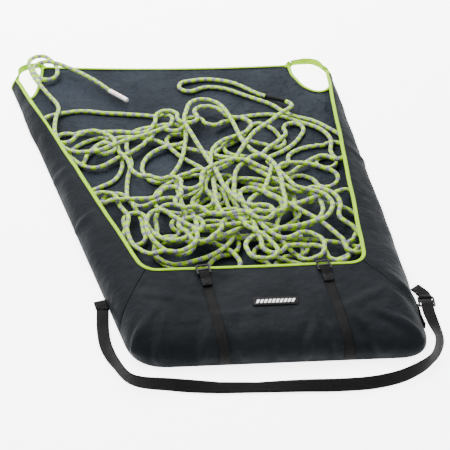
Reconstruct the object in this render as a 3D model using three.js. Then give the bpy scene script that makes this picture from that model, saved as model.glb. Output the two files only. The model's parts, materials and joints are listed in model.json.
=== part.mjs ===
import * as THREE from "three";

// A tarp-style bag for a climbing rope, lying open on the ground with its rope in it.
// Millimetres, +Z up. X runs along the front edge and Y from the front edge to the far edge.
// The origin is on the ground, under the middle of the floor tarp.

// Floor plan
const bagLength = 1030;
const frontWidth = 566;
const farWidth = 798;
const lean = -204;
const farTilt = -0.042;
const farDip = 24;
const frontCornerRun = 65;
const seamStart = 95;

// Walls, pocket and mouth
const fabric = 1.2;
const gap = 0.3;
const wallStop = 78;
const wallEndHeight = 30;
const wallEndInset = 16;
const pocketDepth = 212;
const pocketHeight = 59;
const mouthInset = 88;
const mouthCornerRun = 34;
const seamGap = 0.5;
const rowCrowding = 0.45;
const pocketShoulder = 0.14;

// Corner cut-outs and their tape loops
const cutWidth = 92;
const cutDepth = 104;
const cutTurnIn = 23;
const cutBindingTrim = 26;
const loopTape = 15;
const loopBulge = 20;
const loopStandOff = 6;

// Edge binding
const bindingWall = 1;
const bindingOverlap = 5;
const bindingLip = 1.8;
const bindingClear = 0.45;

// Webbing and plastic buckles
const webbing = 1.4;
const strapWidth = 20;
const shoulderWidth = 25;
const buckleRail = 3.6;
const buckleBar = 4.4;
const loopSlot = 5.6;
const webSlot = 8;
const buckleThickness = 3.4;
const buckleBevel = 0.6;
const buckleRound = 3;
const barClear = 0.8;
const eyeRadius = 4;
const eyeNeck = 10.4;
const eyeClosed = 12.8;
const foldedEnd = 22;
const strapAtMouth = [-144, 95];
const strapAtFront = [-114, 122];
const strapStop = 190;
const strapLift = 0.6;

// Blank label
const labelWidth = 89;
const labelHeight = 22;
const labelThickness = 1.2;
const labelFromFront = 107;
const labelX = -10;

// Shoulder strap
const strapAxisY = 158;
const strapAxisZ = 5;
const rootPlate = 22;
const rootClear = 2.2;
const rootSlant = 16;
const strapEndClear = 1.5;
const tailLength = 58;
const tailWidth = 13;
const tailGap = 2.5;

// Rope
const ropeDiameter = 10;
const ropeSides = 10;
const ropeStep = 24;
const pileStart = 74;
const pileEnd = 800;
const pileInset = 52;
const pileHeight = 43;
const pileFarHeight = 20;
const pileCorner = 3.2;
const pileDome = 3;
const knotRing = 21;
const knotAt = [-489, 980];
const sleeveLength = 58;
const sleeveWall = 0.5;

const up = new THREE.Vector3(0, 0, 1);
const tiny = 1e-7;
const floorTop = fabric;
const seamHeight = floorTop + gap;

const finish = {
  shell: { color: 0x34393c, roughness: 0.85, metalness: 0 },
  floor: { color: 0x474d57, roughness: 0.6, metalness: 0 },
  binding: { color: 0xb9d437, roughness: 0.8, metalness: 0 },
  webbing: { color: 0x1d1d20, roughness: 0.8, metalness: 0 },
  plastic: { color: 0x0c0c0e, roughness: 0.3, metalness: 0 },
  label: { color: 0x101112, roughness: 0.6, metalness: 0 },
  rope: { color: 0xa9bf55, roughness: 0.9, metalness: 0 },
  sleeve: { color: 0xe8e4e6, roughness: 0.5, metalness: 0 },
};

const bag = new THREE.Group();

function addPart(name, geometry, look) {
  const mesh = new THREE.Mesh(geometry, new THREE.MeshStandardMaterial(finish[look]));
  mesh.name = name;
  bag.add(mesh);
  return mesh;
}

const at = (x, y, z) => new THREE.Vector3(x, y, z);

// Turns a closed triangle list so that its faces point out.
function solid(points, faces) {
  let volume = 0;
  for (const [a, b, c] of faces) {
    volume += points[a].dot(points[b].clone().cross(points[c]));
  }
  const index = faces.flatMap(([a, b, c]) => (volume > 0 ? [a, b, c] : [a, c, b]));
  const geometry = new THREE.BufferGeometry();
  const flat = points.flatMap((p) => [p.x, p.y, p.z]);
  geometry.setAttribute("position", new THREE.Float32BufferAttribute(flat, 3));
  geometry.setIndex(index);
  geometry.computeVertexNormals();
  return geometry;
}

// A sheet with thickness: two matching grids of points, joined round their edges.
function sheetSolid(outer, inner) {
  const rows = outer.length;
  const columns = outer[0].length;
  const points = [...outer.flat(), ...inner.flat()];
  const id = (side, i, j) => side * rows * columns + i * columns + j;
  const faces = [];
  const quad = (a, b, c, d) => faces.push([a, b, c], [a, c, d]);
  for (let i = 0; i < rows - 1; i += 1) {
    for (let j = 0; j < columns - 1; j += 1) {
      quad(id(0, i, j), id(0, i + 1, j), id(0, i + 1, j + 1), id(0, i, j + 1));
      quad(id(1, i, j), id(1, i, j + 1), id(1, i + 1, j + 1), id(1, i + 1, j));
    }
    quad(id(0, i, 0), id(1, i, 0), id(1, i + 1, 0), id(0, i + 1, 0));
    const last = columns - 1;
    quad(id(0, i, last), id(0, i + 1, last), id(1, i + 1, last), id(1, i, last));
  }
  for (let j = 0; j < columns - 1; j += 1) {
    quad(id(0, 0, j), id(0, 0, j + 1), id(1, 0, j + 1), id(1, 0, j));
    quad(id(0, rows - 1, j), id(1, rows - 1, j), id(1, rows - 1, j + 1), id(0, rows - 1, j + 1));
  }
  return solid(points, faces);
}

// A flat outline carried along frames, each with a point p and the outline's two directions a and b.
function sweep(outline, frames) {
  const sides = outline.length;
  const points = frames.flatMap(({ p, a, b }) =>
    outline.map((q) => p.clone().addScaledVector(a, q.x).addScaledVector(b, q.y)));
  const faces = [];
  for (let i = 0; i < frames.length - 1; i += 1) {
    for (let k = 0; k < sides; k += 1) {
      const next = (k + 1) % sides;
      faces.push([i * sides + k, i * sides + next, (i + 1) * sides + next]);
      faces.push([i * sides + k, (i + 1) * sides + next, (i + 1) * sides + k]);
    }
  }
  const wasClockwise = THREE.ShapeUtils.isClockWise(outline);
  const last = (frames.length - 1) * sides;
  for (const [a, b, c] of THREE.ShapeUtils.triangulateShape(outline, [])) {
    faces.push(wasClockwise ? [a, b, c] : [a, c, b]);
    faces.push(wasClockwise ? [last + a, last + c, last + b] : [last + a, last + b, last + c]);
  }
  return solid(points, faces);
}

function rectangle(width, height) {
  const x = width / 2;
  const y = height / 2;
  return [[-x, -y], [x, -y], [x, y], [-x, y]].map(([px, py]) => new THREE.Vector2(px, py));
}

const outlineOf = (pairs) => pairs.map(([x, y]) => new THREE.Vector2(x, y));

// Frames for webbing: across[i] is the direction of its width at point i.
function webbingFrames(points, across) {
  return points.map((p, i) => {
    const before = points[Math.max(i - 1, 0)];
    const after = points[Math.min(i + 1, points.length - 1)];
    const along = after.clone().sub(before).normalize();
    const a = across[i].clone().addScaledVector(along, -across[i].dot(along)).normalize();
    return { p, a, b: along.clone().cross(a) };
  });
}

// Floor plan: the side lines, and where the walls stop
function sideX(side, y) {
  const share = y / bagLength;
  return lean * share + side * (frontWidth + (farWidth - frontWidth) * share) / 2;
}

const wallEndY = bagLength - wallStop;
const farY = (x) => bagLength + farTilt * (x - lean);
const onSide = (side, y) => new THREE.Vector2(sideX(side, y), y);

// Height and inset of the mouth's edge above a wall, at a distance y from the front edge
const wallShare = (y) => (wallEndY - y) / (wallEndY - pocketDepth);
const mouthHeight = (y) => wallEndHeight + (pocketHeight - wallEndHeight) * wallShare(y);
const mouthX = (side, y) =>
  sideX(side, y) - side * (wallEndInset + (mouthInset - wallEndInset) * wallShare(y));

// The two halves of a rounded corner
function halfCorners(from, corner, to) {
  const first = from.clone().lerp(corner, 0.5);
  const second = corner.clone().lerp(to, 0.5);
  const middle = first.clone().lerp(second, 0.5);
  return [
    new THREE.QuadraticBezierCurve(from, first, middle),
    new THREE.QuadraticBezierCurve(middle, second, to),
  ];
}

function joined(curves) {
  const path = new THREE.CurvePath();
  curves.forEach((curve) => path.add(curve));
  return path;
}

const towards = (from, to, run) =>
  from.clone().add(to.clone().sub(from).setLength(run));

function mouthCorner(side) {
  const corner = new THREE.Vector2(mouthX(side, pocketDepth), pocketDepth);
  const wallEnd = new THREE.Vector2(mouthX(side, wallEndY), wallEndY);
  const otherCorner = new THREE.Vector2(mouthX(-side, pocketDepth), pocketDepth);
  const onWall = towards(corner, wallEnd, mouthCornerRun);
  const onPocket = towards(corner, otherCorner, mouthCornerRun);
  return { wallEnd, onWall, onPocket, halves: halfCorners(onWall, corner, onPocket) };
}

function groundCorner(side) {
  const corner = onSide(side, 0);
  const onWall = towards(corner, onSide(side, wallEndY), frontCornerRun);
  const onFront = towards(corner, onSide(-side, 0), frontCornerRun);
  return { onWall, onFront, halves: halfCorners(onWall, corner, onFront) };
}

const reversed = (curve) => new THREE.QuadraticBezierCurve(curve.v2, curve.v1, curve.v0);

// Ground line and mouth edge of a wall, both from its far end to the pocket's seam
function wallLines(side) {
  const corner = mouthCorner(side);
  return {
    ground: joined([new THREE.LineCurve(onSide(side, wallEndY), onSide(side, seamStart))]),
    mouth: joined([new THREE.LineCurve(corner.wallEnd, corner.onWall), corner.halves[0]]),
  };
}

// Ground line and mouth edge of the pocket, both from the left seam to the right seam
function pocketLines() {
  const groundLeft = groundCorner(-1);
  const groundRight = groundCorner(1);
  const mouthLeft = mouthCorner(-1);
  const mouthRight = mouthCorner(1);
  return {
    ground: joined([
      new THREE.LineCurve(onSide(-1, seamStart), groundLeft.onWall),
      ...groundLeft.halves,
      new THREE.LineCurve(groundLeft.onFront, groundRight.onFront),
      reversed(groundRight.halves[1]),
      reversed(groundRight.halves[0]),
      new THREE.LineCurve(groundRight.onWall, onSide(1, seamStart)),
    ]),
    mouth: joined([
      mouthLeft.halves[1],
      new THREE.LineCurve(mouthLeft.onPocket, mouthRight.onPocket),
      reversed(mouthRight.halves[1]),
    ]),
  };
}

// How full the side of the bag is: exponents of its superelliptic section
const wallFull = [1.4, 1.4];
const seamFull = [2.6, 2.2];
const pocketFull = [5, 3];
const blendFull = (from, to, share) =>
  from.map((value, k) => THREE.MathUtils.lerp(value, to[k], share));

// A panel's section from the ground line to the mouth edge, as [inward, raised] shares evenly spaced
function sectionShares(spread, rise, inset, height, rows) {
  const fine = 96;
  const points = Array.from({ length: fine + 1 }, (_, k) => {
    const turn = (k / fine) * (Math.PI / 2);
    const inward = 1 - Math.max(Math.cos(turn), 0) ** (2 / spread);
    return new THREE.Vector2(inward * inset, height * Math.sin(turn) ** (2 / rise));
  });
  const reach = [0];
  for (let k = 1; k <= fine; k += 1) {
    reach.push(reach[k - 1] + points[k].distanceTo(points[k - 1]));
  }
  return Array.from({ length: rows + 1 }, (_, j) => {
    const wanted = rowSpacing(j / rows) * reach[fine];
    const k = Math.max(1, reach.findIndex((value) => value >= wanted - tiny));
    const share = (wanted - reach[k - 1]) / (reach[k] - reach[k - 1]);
    const p = points[k - 1].clone().lerp(points[k], share);
    return [p.x / inset, p.y / height];
  });
}

// Rows lie closer together low down, where the section turns most
const rowSpacing = (share) => (1 - rowCrowding) * share + rowCrowding * share * share;

// The middle surface of a panel: rows from the ground line (0) to the mouth edge (1)
function panelSurface(lines, columns, rows, fullness) {
  const ground = lines.ground.getSpacedPoints(columns);
  const mouth = lines.mouth.getSpacedPoints(columns);
  return ground.map((g, i) => {
    const [spread, rise] = fullness(i / columns);
    const height = mouthHeight(mouth[i].y) - seamHeight;
    const inset = g.distanceTo(mouth[i]);
    return sectionShares(spread, rise, inset, height, rows).map(([inward, raised]) => at(
      THREE.MathUtils.lerp(g.x, mouth[i].x, inward),
      THREE.MathUtils.lerp(g.y, mouth[i].y, inward),
      seamHeight + height * raised,
    ));
  });
}

function gridNormals(grid) {
  const rows = grid.length - 1;
  const columns = grid[0].length - 1;
  return grid.map((row, i) => row.map((_, j) => {
    const along = grid[Math.min(i + 1, rows)][j].clone().sub(grid[Math.max(i - 1, 0)][j]);
    const rising = grid[i][Math.min(j + 1, columns)].clone().sub(grid[i][Math.max(j - 1, 0)]);
    const normal = along.cross(rising);
    if (j === 0) {
      normal.setZ(0);
    }
    return normal.normalize();
  }));
}

const offsetGrid = (grid, normals, distance) =>
  grid.map((row, i) => row.map((p, j) => p.clone().addScaledVector(normals[i][j], distance)));

// Draws the first or last row of a grid back from its neighbour panel
function drawBack(grid, end, distance) {
  const edge = end === 0 ? 0 : grid.length - 1;
  const next = end === 0 ? 1 : grid.length - 2;
  grid[edge].forEach((p, j) => {
    const step = grid[next][j].clone().sub(p);
    p.addScaledVector(step.normalize(), distance);
  });
}

const wallColumns = 16;
const pocketColumns = 40;
const panelRows = 8;

function wallGrid(side) {
  const grid = panelSurface(wallLines(side), wallColumns, panelRows, (share) =>
    blendFull(wallFull, seamFull, share));
  return side > 0 ? grid.reverse() : grid;
}

function pocketGrid() {
  return panelSurface(pocketLines(), pocketColumns, panelRows, (share) => {
    const fromSeam = Math.min(share, 1 - share) / pocketShoulder;
    return blendFull(seamFull, pocketFull, THREE.MathUtils.smoothstep(fromSeam, 0, 1));
  });
}

const leftGrid = wallGrid(-1);
const middleGrid = pocketGrid();
const rightGrid = wallGrid(1);
const mouthGrid = [...leftGrid.slice(0, -1), ...middleGrid, ...rightGrid.slice(1)].map((row) =>
  row.map((p) => p.clone()));
const mouthNormals = gridNormals(mouthGrid);
const panelNormals = {
  left: mouthNormals.slice(0, wallColumns + 1),
  pocket: mouthNormals.slice(wallColumns, wallColumns + pocketColumns + 1),
  right: mouthNormals.slice(wallColumns + pocketColumns),
};
drawBack(leftGrid, 1, seamGap / 2);
drawBack(middleGrid, 0, seamGap / 2);
drawBack(middleGrid, 1, seamGap / 2);
drawBack(rightGrid, 0, seamGap / 2);

function addPanel(name, grid, normals) {
  const outer = offsetGrid(grid, normals, fabric / 2);
  const inner = offsetGrid(grid, normals, -fabric / 2);
  addPart(name, sheetSolid(outer, inner), "shell");
}

addPanel("left_wall", leftGrid, panelNormals.left);
addPanel("front_pocket", middleGrid, panelNormals.pocket);
addPanel("right_wall", rightGrid, panelNormals.right);

// Floor tarp, with a rounded bite out of each far corner
const farCorner = (side) => {
  const x = sideX(side, bagLength);
  return new THREE.Vector2(x, farY(x));
};
const cutStart = (side) => {
  const corner = farCorner(side);
  const x = corner.x - side * cutWidth;
  return new THREE.Vector2(x, farY(x));
};

function cutOutCurve(side) {
  const start = cutStart(side);
  const end = onSide(side, wallEndY);
  const deep = start.clone().add(new THREE.Vector2(0, -cutDepth));
  const turn = onSide(side, wallEndY - cutDepth);
  turn.x -= side * cutTurnIn;
  return new THREE.CubicBezierCurve(start, deep, turn, end);
}

const farCurve = () => {
  const start = cutStart(-1);
  const end = cutStart(1);
  const middle = start.clone().lerp(end, 0.5);
  middle.y -= farDip;
  return new THREE.QuadraticBezierCurve(start, middle, end);
};

const cutSteps = 14;
const farSteps = 12;

function addTarp() {
  const cornerSteps = 6;
  const frontLeft = joined(groundCorner(-1).halves).getPoints(cornerSteps);
  const frontRight = joined(groundCorner(1).halves).getPoints(cornerSteps).reverse();
  const rightCut = cutOutCurve(1).getPoints(cutSteps).reverse();
  const far = farCurve().getPoints(farSteps).reverse();
  const leftCut = cutOutCurve(-1).getPoints(cutSteps);
  const outline = [...frontLeft, ...frontRight, ...rightCut, ...far.slice(1, -1), ...leftCut];
  const shape = new THREE.Shape(outline);
  const body = new THREE.ExtrudeGeometry(shape, { depth: fabric, bevelEnabled: false });
  addPart("base_tarp", body, "floor");
}

addTarp();

// Binding folded round the free edge of a panel: a runs out past the edge, b away from the bag
const slot = fabric / 2 + bindingClear;
const channel = outlineOf([
  [-bindingOverlap, slot],
  [gap, slot],
  [gap, -slot],
  [-bindingOverlap, -slot],
  [-bindingOverlap, -slot - bindingWall],
  [bindingLip, -slot - bindingWall],
  [bindingLip, slot + bindingWall],
  [-bindingOverlap, slot + bindingWall],
]);

// The way a panel runs out at its mouth edge, taken over the width of the binding
function runOut(row) {
  const edge = row.at(-1);
  let left = bindingOverlap;
  for (let j = row.length - 2; j >= 0; j -= 1) {
    const step = row[j].distanceTo(row[j + 1]);
    if (step >= left) {
      return edge.clone().sub(row[j + 1].clone().lerp(row[j], left / step)).normalize();
    }
    left -= step;
  }
  return edge.clone().sub(row[0]).normalize();
}

function mouthFrames() {
  return mouthGrid.map((row, i) => {
    const before = mouthGrid[Math.max(i - 1, 0)].at(-1);
    const after = mouthGrid[Math.min(i + 1, mouthGrid.length - 1)].at(-1);
    const along = after.clone().sub(before).normalize();
    const a = runOut(row);
    a.addScaledVector(along, -a.dot(along)).normalize();
    return { p: row.at(-1), a, b: a.clone().cross(along) };
  });
}

addPart("mouth_binding", sweep(channel, mouthFrames()), "binding");

// The end of each wall, from just above the floor to just below the mouth binding
function addWallEnd(name, edge, inside, normals) {
  const clear = bindingOverlap + gap;
  const base = edge[0];
  const frames = [];
  edge.forEach((p, j) => {
    const rising = edge[Math.min(j + 1, panelRows)].clone().sub(edge[Math.max(j - 1, 0)]).normalize();
    const out = p.clone().sub(inside[j]);
    const a = out.addScaledVector(rising, -out.dot(rising)).normalize();
    const b = normals[j].clone().addScaledVector(rising, -normals[j].dot(rising)).normalize();
    frames.push({ p: p.clone(), a, b });
  });
  const top = frames.at(-1);
  top.p.lerp(frames.at(-2).p, clear / top.p.distanceTo(frames.at(-2).p));
  frames[0].p = at(base.x, base.y, base.z + bindingWall + gap);
  addPart(name, sweep(channel, frames), "binding");
}

addWallEnd("left_wall_end_binding", leftGrid[0], leftGrid[1], panelNormals.left[0]);
addWallEnd("right_wall_end_binding", rightGrid.at(-1), rightGrid.at(-2), panelNormals.right.at(-1));

// Binding on the floor tarp's edges lies on its top face and turns down over the edge
const angle = outlineOf([
  [-bindingOverlap, floorTop + gap],
  [gap, floorTop + gap],
  [gap, 0],
  [bindingLip, 0],
  [bindingLip, floorTop + gap + bindingWall],
  [-bindingOverlap, floorTop + gap + bindingWall],
]);

// Shortens a line of points at both ends
function trimmed(points, startTrim, endTrim) {
  const line = points.map((p) => p.clone());
  line[0] = towards(points[0], points[1], startTrim);
  line[line.length - 1] = towards(points.at(-1), points.at(-2), endTrim);
  return line;
}

function addEdgeBinding(name, line, outSign) {
  const frames = line.map((point, i) => {
    const before = line[Math.max(i - 1, 0)];
    const along = line[Math.min(i + 1, line.length - 1)].clone().sub(before).normalize();
    const a = at(-along.y, along.x, 0).multiplyScalar(outSign);
    return { p: at(point.x, point.y, 0), a, b: up };
  });
  addPart(name, sweep(angle, frames), "binding");
}

const bindingEnd = bindingLip + bindingOverlap;
addEdgeBinding("far_edge_binding", trimmed(farCurve().getPoints(farSteps), gap, gap), 1);
for (const [name, side] of [["left_cutout_binding", -1], ["right_cutout_binding", 1]]) {
  const line = cutOutCurve(side).getPoints(cutSteps);
  const lastStep = line.at(-1).distanceTo(line.at(-2));
  const wallTrim = Math.max(0, cutBindingTrim - lastStep);
  addEdgeBinding(name, trimmed(line.slice(0, -1), bindingEnd, wallTrim), side);
}

// Tape loop across a cut-out, on its edge, from the wall's top corner to the far edge
function loopEnds(side) {
  const wallTop = side < 0 ? leftGrid[0][panelRows] : rightGrid.at(-1)[panelRows];
  const start = cutStart(side);
  const far = at(start.x, start.y, floorTop + gap + loopTape / 2);
  const chord = far.clone().sub(wallTop).setZ(0).normalize();
  return {
    wall: wallTop.clone().addScaledVector(chord, loopStandOff),
    far: far.addScaledVector(chord, -loopStandOff).add(at(0, loopStandOff / 2, 0)),
  };
}

function addCornerLoop(name, side) {
  const steps = 16;
  const { wall, far } = loopEnds(side);
  const chord = far.clone().sub(wall);
  const outward = at(chord.y, -chord.x, 0).multiplyScalar(side * Math.sign(chord.y)).normalize();
  const points = Array.from({ length: steps + 1 }, (_, i) => {
    const share = i / steps;
    return wall.clone().lerp(far, share).addScaledVector(outward, loopBulge * Math.sin(Math.PI * share));
  });
  const frames = webbingFrames(points, points.map(() => up));
  addPart(name, sweep(rectangle(loopTape, webbing), frames), "binding");
}

addCornerLoop("left_corner_loop", -1);
addCornerLoop("right_corner_loop", 1);

// Ladder-lock buckle: its sewn bar lies along X at the origin and the frame runs to +Y
const buckleLength = buckleBar + loopSlot + buckleBar + webSlot + buckleBar;

function ladderLock(webWidth) {
  const inner = webWidth / 2 + barClear;
  const outer = inner + buckleRail;
  const bottom = -buckleBar / 2;
  const top = bottom + buckleLength;
  const round = buckleRound;
  const body = new THREE.Shape();
  body.moveTo(-outer + round, bottom);
  body.lineTo(outer - round, bottom);
  body.quadraticCurveTo(outer, bottom, outer, bottom + round);
  body.lineTo(outer, top - round);
  body.quadraticCurveTo(outer, top, outer - round, top);
  body.lineTo(-outer + round, top);
  body.quadraticCurveTo(-outer, top, -outer, top - round);
  body.lineTo(-outer, bottom + round);
  body.quadraticCurveTo(-outer, bottom, -outer + round, bottom);
  const window = (from, size) => {
    const hole = new THREE.Path();
    hole.moveTo(-inner, from);
    hole.lineTo(-inner, from + size);
    hole.lineTo(inner, from + size);
    hole.lineTo(inner, from);
    hole.closePath();
    return hole;
  };
  body.holes.push(window(buckleBar / 2, loopSlot));
  body.holes.push(window(buckleBar / 2 + loopSlot + buckleBar, webSlot));
  const geometry = new THREE.ExtrudeGeometry(body, {
    depth: buckleThickness - 2 * buckleBevel,
    bevelEnabled: true,
    bevelThickness: buckleBevel,
    bevelSize: buckleBevel,
    bevelOffset: -buckleBevel,
    bevelSegments: 1,
    curveSegments: 4,
  });
  return geometry.translate(0, 0, buckleBevel - buckleThickness / 2);
}

// Side view of webbing that runs to a bar, round it and back over itself: s past the bar, h up
function eyeProfile() {
  const steps = 8;
  const points = [];
  for (let k = 0; k <= steps; k += 1) {
    const turn = -Math.PI / 2 + (k / steps) * Math.PI;
    points.push([eyeRadius * Math.cos(turn), eyeRadius + eyeRadius * Math.sin(turn)]);
  }
  const over = webbing + gap * 2;
  points.push([-eyeNeck, over + gap]);
  points.push([-eyeClosed, over]);
  points.push([-eyeClosed - foldedEnd, over]);
  return points;
}

// A point on a grid: column share along the panel, row share from the ground line to the mouth
function onGrid(grid, column, row) {
  const c = column * (grid.length - 1);
  const r = row * (grid[0].length - 1);
  const i = Math.min(Math.floor(c), grid.length - 2);
  const j = Math.min(Math.floor(r), grid[0].length - 2);
  const low = grid[i][j].clone().lerp(grid[i + 1][j], c - i);
  const high = grid[i][j + 1].clone().lerp(grid[i + 1][j + 1], c - i);
  return low.lerp(high, r - j);
}

const webLift = fabric / 2 + strapLift + webbing / 2;

// The column share at which the pocket's surface passes x, at a row that may lie between two grid rows
function pocketColumn(row, x) {
  const count = middleGrid.length - 1;
  const xs = middleGrid.map((_, i) => onGrid(middleGrid, i / count, row / panelRows).x);
  const i = Math.min(Math.max(xs.findIndex((value) => value > x), 1), count);
  return (i - 1 + (x - xs[i - 1]) / (xs[i] - xs[i - 1])) / count;
}

// Compression strap: sewn in at the front edge, over the pocket and round the buckle's bar
function addCompressionStrap(side, index) {
  const stopRow = panelRows - 1;
  const points = [];
  const normals = [];
  const xAt = (y) => THREE.MathUtils.lerp(strapAtFront[index], strapAtMouth[index], y / strapStop);
  const place = (row, column) => {
    const share = row / panelRows;
    const normal = onGrid(panelNormals.pocket, column, share).normalize();
    points.push(onGrid(middleGrid, column, share).addScaledVector(normal, webLift));
    normals.push(normal);
  };
  for (let row = 1; row <= stopRow; row += 1) {
    place(row, pocketColumn(row, xAt(onGrid(middleGrid, 0.5, row / panelRows).y)));
  }
  const last = onGrid(middleGrid, 0.5, stopRow / panelRows).y;
  const rest = (strapStop - last) / (onGrid(middleGrid, 0.5, 1).y - last);
  place(stopRow + rest, pocketColumn(stopRow + rest, strapAtMouth[index]));
  const across = points.map((p, i) => {
    const along = points[Math.min(i + 1, points.length - 1)].clone().sub(points[Math.max(i - 1, 0)]);
    return along.cross(normals[i]).normalize();
  });
  const bar = points.at(-1).clone();
  const normal = normals.at(-1);
  const sideways = across.at(-1);
  const rise = normal.clone().cross(sideways).normalize();
  for (const [s, h] of eyeProfile().slice(1)) {
    points.push(bar.clone().addScaledVector(rise, s).addScaledVector(normal, h));
    across.push(sideways);
  }
  const frames = webbingFrames(points, across);
  addPart(`${side}_compression_strap`, sweep(rectangle(strapWidth, webbing), frames), "webbing");
  const buckle = addPart(`${side}_buckle`, ladderLock(strapWidth), "plastic");
  buckle.applyMatrix4(new THREE.Matrix4().makeBasis(sideways, rise, normal));
  buckle.position.copy(bar.addScaledVector(normal, eyeRadius));
}

addCompressionStrap("left", 0);
addCompressionStrap("right", 1);

// Blank label patch on the pocket
function addLabel() {
  const steps = 8;
  const row = (y) => {
    let low = 0;
    let high = 1;
    while (high - low > tiny) {
      const middle = (low + high) / 2;
      if (onGrid(middleGrid, 0.5, middle).y < y) {
        low = middle;
      } else {
        high = middle;
      }
    }
    return low;
  };
  const share = row(labelFromFront);
  const nearby = 1 / (4 * panelRows);
  const before = onGrid(middleGrid, 0.5, share - nearby);
  const slope = onGrid(middleGrid, 0.5, share + nearby).sub(before).normalize();
  const p = onGrid(middleGrid, 0.5, share).setX(labelX);
  const normal = at(1, 0, 0).cross(slope);
  p.addScaledVector(normal, fabric / 2 + gap * 2 + labelThickness / 2);
  const frames = Array.from({ length: steps + 1 }, (_, i) => ({
    p: p.clone().add(at((i / steps - 0.5) * labelWidth, 0, 0)),
    a: slope,
    b: normal,
  }));
  addPart("label_patch", sweep(rectangle(labelHeight, labelThickness), frames), "label");
}

addLabel();

// Shoulder strap: where its two roots are, on the line that it swings about
const adjusterHalf = shoulderWidth / 2 + barClear + buckleRail;
const tailRoom = 2 * webbing + 2 * gap + tailGap;
const adjusterEnd = strapAxisY + buckleBar / 2 - buckleLength;

function rootX(side) {
  if (side < 0) {
    return sideX(side, strapAxisY + rootClear) - fabric / 2 - gap - shoulderWidth / 2;
  }
  return sideX(side, adjusterEnd) + fabric / 2 + tailRoom + adjusterHalf;
}

// Left root: a folded plate of webbing, sewn into the seam and lying along the wall
function addLeftRoot() {
  const layers = 2 * webbing + gap;
  const start = onSide(-1, strapAxisY + rootClear);
  const end = onSide(-1, strapAxisY + rootClear + rootPlate);
  const shift = rootX(-1) - start.x;
  const plate = [end, start].map((p) => at(p.x + shift, p.y, strapAxisZ));
  const frames = plate.map((p) => ({ p, a: at(1, 0, 0), b: up }));
  addPart("left_strap_root", sweep(rectangle(shoulderWidth, layers), frames), "webbing");
}

addLeftRoot();

// Right root: a webbing tab slanting out of the seam, with its eye round the adjuster's sewn bar
function addRightRoot() {
  const x = rootX(1);
  const profile = [[-rootPlate, 0], [-eyeClosed, 0], ...eyeProfile()];
  const slant = (s) => rootSlant * Math.min(0, (s + eyeClosed) / foldedEnd);
  const points = profile.map(([s, h]) => at(x + slant(s), strapAxisY - s, strapAxisZ - eyeRadius + h));
  const frames = webbingFrames(points, points.map(() => at(1, 0, 0)));
  addPart("right_strap_root", sweep(rectangle(shoulderWidth, webbing), frames), "webbing");
  const adjuster = addPart("strap_adjuster", ladderLock(shoulderWidth), "plastic");
  adjuster.rotation.z = Math.PI;
  adjuster.position.set(x, strapAxisY, strapAxisZ);
}

addRightRoot();

// The strap's route along the ground: how far across from root to root, y, and how far it leans
// up on its edge, in degrees
const strapRoute = [
  [0.002, 104, 6],
  [0.013, 55, 24],
  [0.042, 5, 62],
  [0.091, -40, 74],
  [0.205, -55, 52],
  [0.337, -61, 14],
  [0.453, -63, 6],
  [0.579, -67, 26],
  [0.701, -72, 46],
  [0.797, -68, 44],
  [0.886, -53, 52],
  [0.970, -18, 76],
  [1.008, 32, 44],
  [1.006, 82, 12],
];

function addShoulderStrap() {
  const steps = 70;
  const left = rootX(-1);
  const right = rootX(1);
  const end = adjusterEnd - strapEndClear;
  const stops = [
    at(left, strapAxisY - rootClear, strapAxisZ),
    at(left, strapAxisY - rootClear - shoulderWidth / 2, strapAxisZ),
    ...strapRoute.map(([share, y, turned]) => {
      const raised = (shoulderWidth / 2) * Math.sin(THREE.MathUtils.degToRad(turned));
      return at(THREE.MathUtils.lerp(left, right, share), y, webbing + raised);
    }),
    at(right, end - shoulderWidth / 2, strapAxisZ),
    at(right, end, strapAxisZ),
  ];
  const turns = [0, 0, ...strapRoute.map(([, , turned]) => turned), 0, 0];
  const curve = new THREE.CatmullRomCurve3(stops, false, "centripetal");
  const points = [];
  const across = [];
  for (let i = 0; i <= steps; i += 1) {
    const share = i / steps;
    const place = share * (stops.length - 1);
    const k = Math.min(Math.floor(place), stops.length - 2);
    const turned = THREE.MathUtils.degToRad(THREE.MathUtils.lerp(turns[k], turns[k + 1], place - k));
    const along = curve.getTangent(share);
    const flat = up.clone().cross(along).normalize();
    const p = curve.getPoint(share);
    p.z = Math.max(p.z, webbing + (shoulderWidth / 2) * Math.sin(turned));
    points.push(p);
    across.push(flat.multiplyScalar(Math.cos(turned)).addScaledVector(up, Math.sin(turned)));
  }
  const frames = webbingFrames(points, across);
  addPart("shoulder_strap", sweep(rectangle(shoulderWidth, webbing), frames), "webbing");
}

addShoulderStrap();

// The strap's free end leaves the adjuster between the strap and the bag, standing on its edge
function addStrapTail() {
  const steps = 6;
  const thickness = 2 * webbing;
  const offset = fabric / 2 + gap * 2 + thickness / 2;
  const points = Array.from({ length: steps + 1 }, (_, i) => {
    const y = adjusterEnd - strapEndClear - (tailLength * i) / steps;
    return at(sideX(1, y) + offset, y, webbing + tailWidth / 2);
  });
  const frames = webbingFrames(points, points.map(() => up));
  addPart("strap_tail", sweep(rectangle(tailWidth, thickness), frames), "webbing");
}

addStrapTail();

// Rope: the pile in the bag is one low mound, and the free stretches are tubes
const ropeRadius = ropeDiameter / 2;
const ropeLie = floorTop + gap + ropeRadius;

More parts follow.
